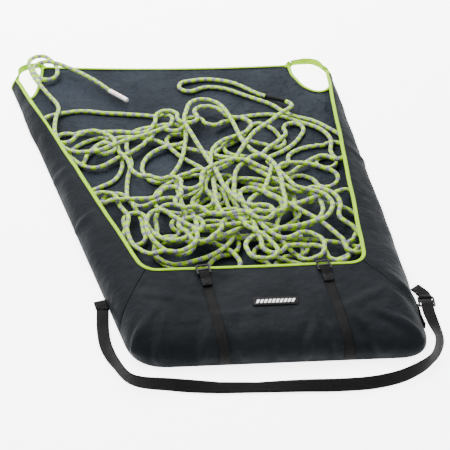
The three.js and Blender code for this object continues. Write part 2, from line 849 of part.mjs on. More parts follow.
function addPile() {
  const around = 44;
  const rings = 6;
  const middleY = (pileStart + pileEnd) / 2;
  const halfY = (pileEnd - pileStart) / 2;
  const base = floorTop + gap;
  const rounded = (value) => Math.sign(value) * Math.abs(value) ** (2 / pileCorner);
  const points = [];
  const ringPoint = (k, m, raised) => {
    const turn = (m / around) * 2 * Math.PI;
    const share = k / rings;
    const y = middleY + share * halfY * rounded(Math.sin(turn));
    const half = (sideX(1, y) - sideX(-1, y)) / 2 - pileInset;
    const x = (sideX(1, y) + sideX(-1, y)) / 2 + share * half * rounded(Math.cos(turn));
    const tall = THREE.MathUtils.mapLinear(y, pileStart, pileEnd, pileHeight, pileFarHeight);
    const top = base + ropeRadius + (tall - ropeRadius) * (1 - share ** pileDome);
    return at(x, y, raised ? top : base);
  };
  points.push(ringPoint(0, 0, true), ringPoint(0, 0, false));
  for (let k = 1; k <= rings; k += 1) {
    for (let m = 0; m < around; m += 1) {
      points.push(ringPoint(k, m, true));
    }
  }
  for (let m = 0; m < around; m += 1) {
    points.push(ringPoint(rings, m, false));
  }
  const id = (k, m) => 2 + (k - 1) * around + (m % around);
  const faces = [];
  for (let m = 0; m < around; m += 1) {
    faces.push([0, id(1, m), id(1, m + 1)]);
    for (let k = 1; k <= rings; k += 1) {
      faces.push([id(k, m), id(k + 1, m), id(k + 1, m + 1)]);
      faces.push([id(k, m), id(k + 1, m + 1), id(k, m + 1)]);
    }
    faces.push([1, id(rings + 1, m + 1), id(rings + 1, m)]);
  }
  addPart("rope_pile", solid(points, faces), "rope");
}

addPile();

function ropeTube(name, route) {
  const curve = new THREE.CatmullRomCurve3(route.map(([x, y, z]) => at(x, y, z)), false, "centripetal");
  const steps = Math.max(2, Math.round(curve.getLength() / ropeStep));
  const section = new THREE.Shape(Array.from({ length: ropeSides }, (_, k) => {
    const turn = (k / ropeSides) * 2 * Math.PI;
    return new THREE.Vector2(ropeRadius * Math.cos(turn), ropeRadius * Math.sin(turn));
  }));
  const body = new THREE.ExtrudeGeometry(section, { steps, extrudePath: curve, bevelEnabled: false });
  addPart(name, body, "rope");
}

// Free stretches of the rope, from the knot to the pile, to the rope's end, and round the long bight
const leadRoute = [
  [-508, 938, ropeLie],
  [-494, 898, ropeLie],
  [-464, 842, ropeLie],
  [-462, 800, ropeLie],
  [-463, 752, ropeLie],
];
const tailRoute = [
  [-455, 1014, ropeLie],
  [-414, 980, ropeLie],
  [-366, 936, ropeLie],
  [-338, 908, ropeLie],
];
const bightRoute = [
  [84, 818, ropeLie],
  [-3, 893, ropeLie],
  [-62, 927, ropeLie],
  [-121, 953, ropeLie],
  [-164, 950, ropeLie],
  [-180, 925, ropeLie],
  [-167, 899, ropeLie],
  [-124, 893, ropeLie],
  [-66, 872, ropeLie],
  [-30, 812, ropeLie],
];
ropeTube("rope_lead", leadRoute);
ropeTube("rope_tail", tailRoute);
ropeTube("rope_bight", bightRoute);

// Knot on the left corner loop: a ring of rope lying on the tarp, and the turns above it
function addKnot() {
  const section = Array.from({ length: ropeSides + 1 }, (_, k) => {
    const turn = (k / ropeSides) * 2 * Math.PI;
    return new THREE.Vector2(knotRing + ropeRadius * Math.cos(turn), ropeRadius * Math.sin(turn));
  });
  const ring = addPart("rope_knot_ring", new THREE.LatheGeometry(section, 32), "rope");
  ring.rotation.x = Math.PI / 2;
  ring.position.set(...knotAt, ropeLie + bindingWall + gap);
}

addKnot();

function addSleeve() {
  const [x, y, z] = tailRoute.at(-1);
  const [px, py] = tailRoute.at(-2);
  const along = at(x - px, y - py, 0).normalize();
  const radius = ropeRadius + sleeveWall;
  const sleeve = new THREE.CylinderGeometry(radius, radius, sleeveLength, 16);
  const end = addPart("rope_end_sleeve", sleeve, "sleeve");
  end.quaternion.setFromUnitVectors(at(0, 1, 0), along);
  end.position.set(x, y, z + sleeveWall).addScaledVector(along, sleeveLength / 2 + gap);
}

addSleeve();

bag.position.set(-lean / 2, -bagLength / 2, 0);

export default bag;
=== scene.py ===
import bpy
import bmesh
import json
import math
import random
import numpy as np
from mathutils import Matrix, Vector, noise
from mathutils.bvhtree import BVHTree
from mathutils.geometry import delaunay_2d_cdt


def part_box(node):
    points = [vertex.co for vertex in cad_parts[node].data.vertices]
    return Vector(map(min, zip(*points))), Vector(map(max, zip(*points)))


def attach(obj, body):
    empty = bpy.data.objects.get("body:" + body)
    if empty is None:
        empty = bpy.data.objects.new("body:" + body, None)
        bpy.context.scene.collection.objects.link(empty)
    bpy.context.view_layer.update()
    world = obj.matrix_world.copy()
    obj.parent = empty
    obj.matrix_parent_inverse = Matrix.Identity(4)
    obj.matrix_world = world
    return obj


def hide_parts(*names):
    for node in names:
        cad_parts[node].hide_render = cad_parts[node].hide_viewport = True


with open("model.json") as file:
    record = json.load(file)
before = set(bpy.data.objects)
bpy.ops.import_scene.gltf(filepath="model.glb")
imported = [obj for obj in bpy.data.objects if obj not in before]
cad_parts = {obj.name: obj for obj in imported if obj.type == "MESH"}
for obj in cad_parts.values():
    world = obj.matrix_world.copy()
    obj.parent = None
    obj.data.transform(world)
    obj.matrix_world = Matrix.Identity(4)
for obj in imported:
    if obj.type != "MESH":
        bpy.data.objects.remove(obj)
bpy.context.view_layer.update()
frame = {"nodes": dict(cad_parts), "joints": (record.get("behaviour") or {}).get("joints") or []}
scene = bpy.context.scene
print("frame loaded")

# camera, floor and light

view = {
    "from": (-0.1084, -2.2451, 1.7998),
    "towards": (0.0113, -0.1035, 0.0),
    "lens": 105.2,
    "sensor": 36.0,
}


def makeCamera():
    cam = bpy.data.cameras.new("studioCamera")
    cam.lens = view["lens"]
    cam.sensor_width = view["sensor"]
    cam.clip_end = 60
    obj = bpy.data.objects.new("studioCamera", cam)
    scene.collection.objects.link(obj)
    obj.location = view["from"]
    sight = Vector(view["towards"]) - Vector(view["from"])
    obj.rotation_euler = sight.to_track_quat("-Z", "Y").to_euler()
    scene.camera = obj


makeCamera()


# A wire is one output of a node; sums on wires add Math nodes
class Wire:
    def __init__(self, paint, socket):
        self.paint = paint
        self.socket = socket

    def op(self, kind, a, b=None):
        sockets = {0: a} if b is None else {0: a, 1: b}
        return self.paint.node("ShaderNodeMath", {"operation": kind}, sockets)

    def __add__(self, other):
        return self.op("ADD", self, other)

    __radd__ = __add__

    def __mul__(self, other):
        return self.op("MULTIPLY", self, other)

    __rmul__ = __mul__

    def __sub__(self, other):
        return self.op("SUBTRACT", self, other)

    def __rsub__(self, other):
        return self.op("SUBTRACT", other, self)

    def __truediv__(self, other):
        return self.op("DIVIDE", self, other)

    def wave(self, pitch):
        # 0 to 1 and back once every pitch
        return self.op("SINE", self * (2 * math.pi / pitch)) * 0.5 + 0.5

    def within(self, low, high):
        # a soft step from 0 at low to 1 at high
        return self.paint.node("ShaderNodeMapRange", {"interpolation_type": "SMOOTHSTEP"},
                               {"Value": self, "From Min": low, "From Max": high})

    def fraction(self):
        return self.op("FRACT", self)

    def size(self):
        return self.op("ABSOLUTE", self)


# A paint is one material being built round a single surface shader
class Paint:
    def __init__(self, name, **fixed):
        self.material = bpy.data.materials.new(name)
        self.material.use_nodes = True
        self.tree = self.material.node_tree
        self.tree.nodes.clear()
        self.output = self.tree.nodes.new("ShaderNodeOutputMaterial")
        self.shader = self.tree.nodes.new("ShaderNodeBsdfPrincipled")
        self.tree.links.new(self.shader.outputs[0], self.output.inputs[0])
        for socket, value in fixed.items():
            self.shader.inputs[socket.replace("_", " ")].default_value = value

    def node(self, kind, settings, sockets, output=0):
        made = self.tree.nodes.new(kind)
        for key, value in settings.items():
            if key == "stops":
                ramp = made.color_ramp
                for place, color in value[2:]:
                    ramp.elements.new(place)
                for element, (place, color) in zip(ramp.elements, sorted(value)):
                    element.position = place
                    element.color = (*color, 1)
            else:
                setattr(made, key, value)
        for key, value in sockets.items():
            self.feed(made.inputs[key], value)
        return Wire(self, made.outputs[output])

    def feed(self, socket, value):
        if isinstance(value, Wire):
            self.tree.links.new(value.socket, socket)
        else:
            socket.default_value = value

    def set(self, **sockets):
        for key, value in sockets.items():
            self.feed(self.shader.inputs[key.replace("_", " ")], value)

    def place(self):
        return self.node("ShaderNodeTexCoord", {}, {}, "Object")

    def uv(self):
        both = self.node("ShaderNodeUVMap", {"uv_map": "lay"}, {})
        split = self.node("ShaderNodeSeparateXYZ", {}, {0: both})
        return tuple(Wire(self, out) for out in split.socket.node.outputs[:2])

    def noise(self, scale, detail=3.0, rough=0.5, at=None, stretch=None):
        where = at or self.place()
        if stretch:
            where = self.node("ShaderNodeMapping", {}, {"Vector": where, "Scale": stretch})
        return self.node("ShaderNodeTexNoise", {}, {"Vector": where, "Scale": scale,
                                                   "Detail": detail, "Roughness": rough}, "Fac")

    def mix(self, factor, one, two):
        made = self.tree.nodes.new("ShaderNodeMix")
        made.data_type = "RGBA"
        self.feed(made.inputs[0], factor)
        for socket, value in ((made.inputs[6], one), (made.inputs[7], two)):
            self.feed(socket, value if isinstance(value, Wire) else (*value, 1))
        return Wire(self, made.outputs[2])

    def bump(self, height, strength, distance):
        made = self.tree.nodes.new("ShaderNodeBump")
        made.inputs["Strength"].default_value = strength
        made.inputs["Distance"].default_value = distance
        self.feed(made.inputs["Height"], height)
        self.set(Normal=Wire(self, made.outputs[0]))


# shared mesh work

def finishMesh(name, verts, faces, material, uvs=None):
    # one closed mesh with its faces out; uvs is one (u, v) pair for each corner of each face
    verts = np.asarray(verts, float).reshape(-1, 3)
    volume = 0.0
    for face in faces:
        a = verts[face[0]]
        for k in range(1, len(face) - 1):
            volume += float(np.dot(a, np.cross(verts[face[k]], verts[face[k + 1]])))
    if volume < 0:
        faces = [tuple(reversed(f)) for f in faces]
        if uvs is not None:
            uvs = [tuple(reversed(f)) for f in uvs]
    mesh = bpy.data.meshes.new(name)
    mesh.from_pydata(verts.tolist(), [], faces)
    if uvs is not None:
        layer = mesh.uv_layers.new(name="lay")
        layer.data.foreach_set("uv", np.asarray([c for f in uvs for c in f], float).ravel())
    mesh.polygons.foreach_set("use_smooth", [True] * len(mesh.polygons))
    mesh.materials.append(material)
    mesh.update()
    obj = bpy.data.objects.new(name, mesh)
    scene.collection.objects.link(obj)
    return obj


def unit(v):
    v = np.asarray(v, float)
    length = np.linalg.norm(v, axis=-1, keepdims=True)
    return v / np.maximum(length, 1e-12)


def lengths(path):
    steps = np.linalg.norm(np.diff(path, axis=0), axis=1)
    return np.concatenate([[0.0], np.cumsum(steps)])


def evenly(path, count):
    path = np.asarray(path, float)
    s = lengths(path)
    t = np.linspace(0, s[-1], count + 1)
    return np.stack([np.interp(t, s, path[:, k]) for k in range(path.shape[1])], 1)


def throughPoints(points, step):
    # a smooth curve through the points, in even steps
    p = np.asarray(points, float)
    q = np.vstack([2 * p[0] - p[1], p, 2 * p[-1] - p[-2]])
    out = []
    for i in range(1, len(q) - 2):
        a, b, c, d = q[i - 1:i + 3]
        t0 = 0.0
        t1 = t0 + max(np.linalg.norm(b - a), 1e-6) ** 0.5
        t2 = t1 + max(np.linalg.norm(c - b), 1e-6) ** 0.5
        t3 = t2 + max(np.linalg.norm(d - c), 1e-6) ** 0.5
        count = max(4, int(np.linalg.norm(c - b) / step * 2))
        s = np.linspace(t1, t2, count, endpoint=False)[:, None]
        ab = (t1 - s) / (t1 - t0) * a + (s - t0) / (t1 - t0) * b
        bc = (t2 - s) / (t2 - t1) * b + (s - t1) / (t2 - t1) * c
        cd = (t3 - s) / (t3 - t2) * c + (s - t2) / (t3 - t2) * d
        abc = (t2 - s) / (t2 - t0) * ab + (s - t0) / (t2 - t0) * bc
        bcd = (t3 - s) / (t3 - t1) * bc + (s - t1) / (t3 - t1) * cd
        out.extend((t2 - s) / (t2 - t1) * abc + (s - t1) / (t2 - t1) * bcd)
    out.append(p[-1])
    out = np.asarray(out)
    return evenly(out, max(2, round(lengths(out)[-1] / step)))


def ringMesh(name, verts, along, around, material, laid=True):
    # rings of points joined by quads, ends closed; a laid mesh keeps how far along and round as its layout
    n = len(around) - 1
    faces, uvs = [], []
    for i in range(len(along) - 1):
        for k in range(n):
            m = (k + 1) % n
            faces.append((i * n + k, i * n + m, (i + 1) * n + m, (i + 1) * n + k))
            uvs.append(((along[i], around[k]), (along[i], around[k + 1]),
                        (along[i + 1], around[k + 1]), (along[i + 1], around[k])))
    last = (len(along) - 1) * n
    faces += [tuple(reversed(range(n))), tuple(range(last, last + n))]
    uvs += [tuple((along[0], around[k]) for k in reversed(range(n))),
            tuple((along[-1], around[k]) for k in range(n))]
    return finishMesh(name, verts, faces, material, uvs if laid else None)


def sweep(name, profile, frames, material):
    # profile points (a, b) carried along frames of (point, a direction, b direction)
    verts = [p + a * pa + b * pb for p, a, b in frames for pa, pb in profile]
    around = lengths(np.asarray([*profile, profile[0]]))
    return ringMesh(name, verts, lengths(np.asarray([p for p, a, b in frames])), around, material)


def settle(piece, slot, body, *nodes):
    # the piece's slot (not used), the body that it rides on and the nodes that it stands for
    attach(piece, body)
    if nodes:
        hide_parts(*nodes)


def middleOf(node):
    low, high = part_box(node)
    return (np.array(low) + np.array(high)) / 2


def jointOf(body):
    # a joint's place and axis, from the body that it moves
    joint = next(j for j in frame["joints"] if j["child"] == body)
    return np.array(joint["pos_m"]), unit(joint["axis"])


def stripProfile(width, thickness, corner=0.35):
    # a flat strip's section with softened edges; a runs across it
    w, t = width / 2, thickness / 2
    c = t * corner * 2
    right = [(w - c, -t), (w - c * 0.3, -t * 0.6), (w, 0), (w - c * 0.3, t * 0.6), (w - c, t)]
    left = [(-x, -y) for x, y in right]
    return [(-w * 0.5, -t), (0, -t), (w * 0.5, -t), *right, (w * 0.5, t), (0, t), (-w * 0.5, t), *left]


def stripFrames(points, across):
    points = np.asarray(points, float)
    tangent = unit(np.gradient(points, axis=0))
    frames = []
    for p, t, c in zip(points, tangent, np.asarray(across, float)):
        a = unit(c - t * np.dot(c, t))
        frames.append((p, a, np.cross(t, a)))
    return frames


def waves(x, y, z=0.0, size=0.1, seed=0.0):
    return noise.noise(Vector((x / size + seed, y / size - seed, z / size + seed * 0.7)))


# the bag's plan, in metres: x along the front edge, y from the front edge to the far edge

bag = {
    "length": 1.03, "front": 0.566, "far": 0.798, "lean": -0.204, "farTilt": -0.042, "farDip": 0.024,
    "frontCorner": 0.065, "seamStart": 0.095, "fabric": 0.0012, "gap": 0.0003,
    "wallStop": 0.078, "wallEndHeight": 0.03, "wallEndInset": 0.016,
    "pocketDepth": 0.212, "pocketHeight": 0.059, "mouthInset": 0.088, "mouthCorner": 0.034,
    "cutWidth": 0.092, "cutDepth": 0.104, "cutTurn": 0.023,
}
bagShift = np.array([-bag["lean"] / 2, -bag["length"] / 2, 0.0])
wallEndY = bag["length"] - bag["wallStop"]


def sideX(side, y):
    share = y / bag["length"]
    return bag["lean"] * share + side * (bag["front"] + (bag["far"] - bag["front"]) * share) / 2


def onSide(side, y):
    return np.array([sideX(side, y), y])


def farPoint(x):
    return np.array([x, bag["length"] + bag["farTilt"] * (x - bag["lean"])])


def wallShare(y):
    return (wallEndY - y) / (wallEndY - bag["pocketDepth"])


def mouthHeight(y):
    return bag["wallEndHeight"] + (bag["pocketHeight"] - bag["wallEndHeight"]) * wallShare(y)


def onMouth(side, y):
    inset = bag["wallEndInset"] + (bag["mouthInset"] - bag["wallEndInset"]) * wallShare(y)
    return np.array([sideX(side, y) - side * inset, y])


def run(start, towards, distance):
    return start + unit(towards - start) * distance


def bend(a, b, c, count=16):
    t = np.linspace(0, 1, count)[:, None]
    return (1 - t) ** 2 * a + 2 * t * (1 - t) * b + t ** 2 * c


def halfCorners(start, corner, end):
    first, second = (start + corner) / 2, (corner + end) / 2
    middle = (first + second) / 2
    return bend(start, first, middle), bend(middle, second, end)


def mouthCornerCurves(side):
    corner, wallEnd = onMouth(side, bag["pocketDepth"]), onMouth(side, wallEndY)
    onWall = run(corner, wallEnd, bag["mouthCorner"])
    onPocket = run(corner, onMouth(-side, bag["pocketDepth"]), bag["mouthCorner"])
    return wallEnd, halfCorners(onWall, corner, onPocket)


def groundCornerCurves(side):
    corner = onSide(side, 0)
    onWall = run(corner, onSide(side, wallEndY), bag["frontCorner"])
    onFront = run(corner, onSide(-side, 0), bag["frontCorner"])
    return onWall, halfCorners(onWall, corner, onFront)


def wallLines(side):
    wallEnd, halves = mouthCornerCurves(side)
    ground = np.array([onSide(side, wallEndY), onSide(side, bag["seamStart"])])
    return ground, np.vstack([[wallEnd], halves[0]])


def pocketLines():
    leftHalves, rightHalves = groundCornerCurves(-1)[1], groundCornerCurves(1)[1]
    ground = np.vstack([[onSide(-1, bag["seamStart"])], *leftHalves,
                        rightHalves[1][::-1], rightHalves[0][::-1], [onSide(1, bag["seamStart"])]])
    leftMouth, rightMouth = mouthCornerCurves(-1)[1][1], mouthCornerCurves(1)[1][1]
    return ground, np.vstack([leftMouth, rightMouth[::-1]])


shell = {
    "wallColumns": 150, "pocketColumns": 170, "rows": 48, "crowding": 0.45, "shoulder": 0.14,
    "wallFull": (1.4, 1.4), "seamFull": (2.6, 2.2), "pocketFull": (5.0, 3.0),
    "calm": ((0.092, -0.408, 0.062, 0.03), (-0.235, -0.32, 0.06, 0.075)),
    "seamGap": 0.0004, "seamDip": 0.0016, "seamWidth": 0.005, "seamKeep": 0.02, "columnPitch": 0.0052,
    "footShare": 0.16, "rimShare": 0.14, "endColumns": 12, "foldHeight": 0.005, "rippleHeight": 0.002,
}


def sectionShares(spread, rise, inset, height):
    turn = np.linspace(0, np.pi / 2, 97)
    inward = 1 - np.maximum(np.cos(turn), 0) ** (2 / spread)
    path = np.stack([inward * inset, height * np.sin(turn) ** (2 / rise)], 1)
    s = lengths(path)
    t = np.linspace(0, 1, shell["rows"] + 1)
    t = (1 - shell["crowding"]) * t + shell["crowding"] * t * t
    x = np.interp(t * s[-1], s, path[:, 0]) / inset
    y = np.interp(t * s[-1], s, path[:, 1]) / height
    return x, y


def panelGrid(lines, columns, fullness):
    ground, mouth = evenly(lines[0], columns), evenly(lines[1], columns)
    base = bag["fabric"] + bag["gap"]
    grid = np.zeros((columns + 1, shell["rows"] + 1, 3))
    for i in range(columns + 1):
        spread, rise = fullness(i / columns)
        height = mouthHeight(mouth[i][1]) - base
        inset = np.linalg.norm(mouth[i] - ground[i])
        x, y = sectionShares(spread, rise, inset, height)
        grid[i, :, :2] = ground[i] + (mouth[i] - ground[i]) * x[:, None]
        grid[i, :, 2] = base + height * y
    return grid + bagShift


def blendFull(one, two, share):
    return tuple(a + (b - a) * share for a, b in zip(one, two))


def wallFullness(share):
    return blendFull(shell["wallFull"], shell["seamFull"], share)


def pocketFullness(share):
    t = min(min(share, 1 - share) / shell["shoulder"], 1)
    return blendFull(shell["seamFull"], shell["pocketFull"], t * t * (3 - 2 * t))


leftGrid = panelGrid(wallLines(-1), shell["wallColumns"], wallFullness)
middleGrid = panelGrid(pocketLines(), shell["pocketColumns"], pocketFullness)
rightGrid = panelGrid(wallLines(1), shell["wallColumns"], wallFullness)[::-1]
allGrid = np.concatenate([leftGrid[:-1], middleGrid, rightGrid[1:]])
leftSeam = shell["wallColumns"]
rightSeam = shell["wallColumns"] + shell["pocketColumns"]


def gridNormals(grid):
    return unit(np.cross(np.gradient(grid, axis=0), np.gradient(grid, axis=1)))


def fold(p, centre, direction, length, width, height):
    # a soft crease: a long low ridge with a valley along one side
    d = unit(np.array(direction))
    along = (p[0] - centre[0]) * d[0] + (p[1] - centre[1]) * d[1]
    across = -(p[0] - centre[0]) * d[1] + (p[1] - centre[1]) * d[0]
    fade = math.exp(-(along / length) ** 2)
    ridge, valley = math.exp(-(across / width) ** 2), math.exp(-((across - width * 1.4) / width) ** 2)
    return height * fade * (ridge - 0.6 * valley)


# creases in the cloth: centre, direction, half length, half width and height
creases = [
    ((-0.175, -0.47), (0.5, 0.85), 0.06, 0.01, 0.007),
    ((-0.135, -0.49), (0.2, 1.0), 0.05, 0.009, 0.006),
    ((-0.05, -0.5), (0.3, 1.0), 0.045, 0.01, 0.0055),
    ((0.02, -0.505), (-0.5, 0.8), 0.04, 0.009, 0.0045),
    ((0.09, -0.5), (-0.2, 1.0), 0.04, 0.011, 0.0045),
    ((0.15, -0.5), (0.45, 1.0), 0.04, 0.009, 0.005),
    ((0.2, -0.5), (-0.35, 1.0), 0.045, 0.009, 0.0058),
    ((0.27, -0.49), (-0.6, 1.0), 0.05, 0.01, 0.0065),
    ((0.33, -0.47), (-0.9, 0.6), 0.06, 0.01, 0.007),
    ((-0.26, -0.26), (-0.3, 1.0), 0.1, 0.017, 0.0045),
    ((-0.30, -0.12), (0.9, 0.4), 0.05, 0.011, 0.0045),
    ((-0.37, 0.05), (1.0, 0.15), 0.05, 0.012, 0.004),
    ((-0.42, 0.2), (-0.25, 1.0), 0.14, 0.018, 0.0045),
    ((0.35, -0.1), (-0.1, 1.0), 0.16, 0.018, 0.004),
    ((0.35, 0.08), (1.0, -0.5), 0.05, 0.012, 0.004),
    ((0.33, 0.25), (-0.05, 1.0), 0.12, 0.016, 0.0042),
    ((0.36, -0.38), (-0.7, 0.7), 0.05, 0.012, 0.0055),
    ((0.05, -0.43), (1.0, 0.12), 0.11, 0.012, 0.0034),
    ((-0.12, -0.38), (1.0, -0.3), 0.08, 0.012, 0.0034),
    ((0.27, -0.4), (1.0, 0.5), 0.07, 0.012, 0.0036),
]


def clothRelief(grid):
    # how far the cloth stands off its even shape: none at its sewn edges, little at the label and left root
    rows = grid.shape[1] - 1
    relief = np.zeros(grid.shape[:2])
    for i in range(grid.shape[0]):
        seam = min(abs(i - leftSeam), abs(i - rightSeam)) * shell["columnPitch"]
        for j in range(rows + 1):
            p = grid[i, j]
            share = j / rows
            edge = min(share / shell["footShare"], (1 - share) / shell["rimShare"], 1.0)
            edge = edge * edge * (3 - 2 * edge)
            end = min(min(i, grid.shape[0] - 1 - i) / shell["endColumns"], 1.0)
            soft = waves(p[0] * 1.3, p[1] * 0.7, p[2], 0.11, 3.1) * shell["foldHeight"]
            soft += waves(p[0], p[1] * 0.8, p[2] * 1.2, 0.045, 8.2) * shell["rippleHeight"]
            soft += sum(fold(p, *crease) for crease in creases)
            groove = math.exp(-(seam / shell["seamWidth"]) ** 2) * shell["seamDip"]
            keep = 1 - math.exp(-(seam / shell["seamKeep"]) ** 2)
            for x, y, wide, deep in shell["calm"]:
                soft *= 1 - math.exp(-((p[0] - x) / wide) ** 4 - ((p[1] - y) / deep) ** 4)
            relief[i, j] = edge * (soft * (0.25 + 0.75 * keep) * end - groove)
    return relief


allNormals = gridNormals(allGrid)
allGrid = allGrid + allNormals * clothRelief(allGrid)[:, :, None]
allNormals = gridNormals(allGrid)
print("bag shape ready")


def onShell(column, row):
    # a point on the shell and its normal, at fractional grid places
    i, j = int(min(column, allGrid.shape[0] - 2)), int(min(row, allGrid.shape[1] - 2))
    u, v = column - i, row - j
    found = []
    for grid in (allGrid, allNormals):
        low = grid[i, j] * (1 - u) + grid[i + 1, j] * u
        high = grid[i, j + 1] * (1 - u) + grid[i + 1, j + 1] * u
        found.append(low * (1 - v) + high * v)
    return found[0], unit(found[1])


def gridTree(grid):
    n, m = grid.shape[:2]
    verts = [Vector(p) for p in grid.reshape(-1, 3)]
    quads = [(i * m + j, i * m + j + 1, (i + 1) * m + j + 1, (i + 1) * m + j)
             for i in range(n - 1) for j in range(m - 1)]
    return BVHTree.FromPolygons(verts, quads)


shellTree = gridTree(allGrid)


tarpCreases = [
    ((0.1, 0.47), (1, -0.25), 0.12, 0.013, 0.005),
    ((-0.2, 0.49), (1, 0.1), 0.14, 0.012, 0.0042),
    ((0.22, 0.33), (1, -0.8), 0.06, 0.011, 0.0045),
    ((-0.02, 0.41), (1, 0.35), 0.1, 0.012, 0.004),
]


def tarpHeight(x, y):
    # the floor tarp's top face: flat under the load, softly creased towards its free far edge
    free = min(max((y - 0.2) / 0.2, 0), 1)
    lift = 0.0034 * (waves(x * 0.5, y * 1.5, 0, 0.08, 1.7) + 0.35) + 0.0015 * waves(x, y, 0, 0.035, 5.1)
    for crease in tarpCreases:
        lift += fold((x, y), *crease)
    edge = min(max((0.49 - y) / 0.03, 0), 1)
    return bag["fabric"] + max(lift, 0) * free * (0.35 + 0.65 * edge)


# the rope

rope = {
    "diameter": 0.01, "step": 0.008, "sides": 12, "leastBend": 0.024, "hidden": 6.8,
    "hump": 0.034, "bedded": 0.8, "seed": 11, "pull": 0.03, "rounds": 420, "wallClear": 0.03,
    "tall": 0.05, "bit": 40, "markAt": (0.162, 0.342),
    "overTape": ((-0.436, 0.512, 0.027, 0.013), (-0.404, 0.536, 0.022, 0.014)),
}

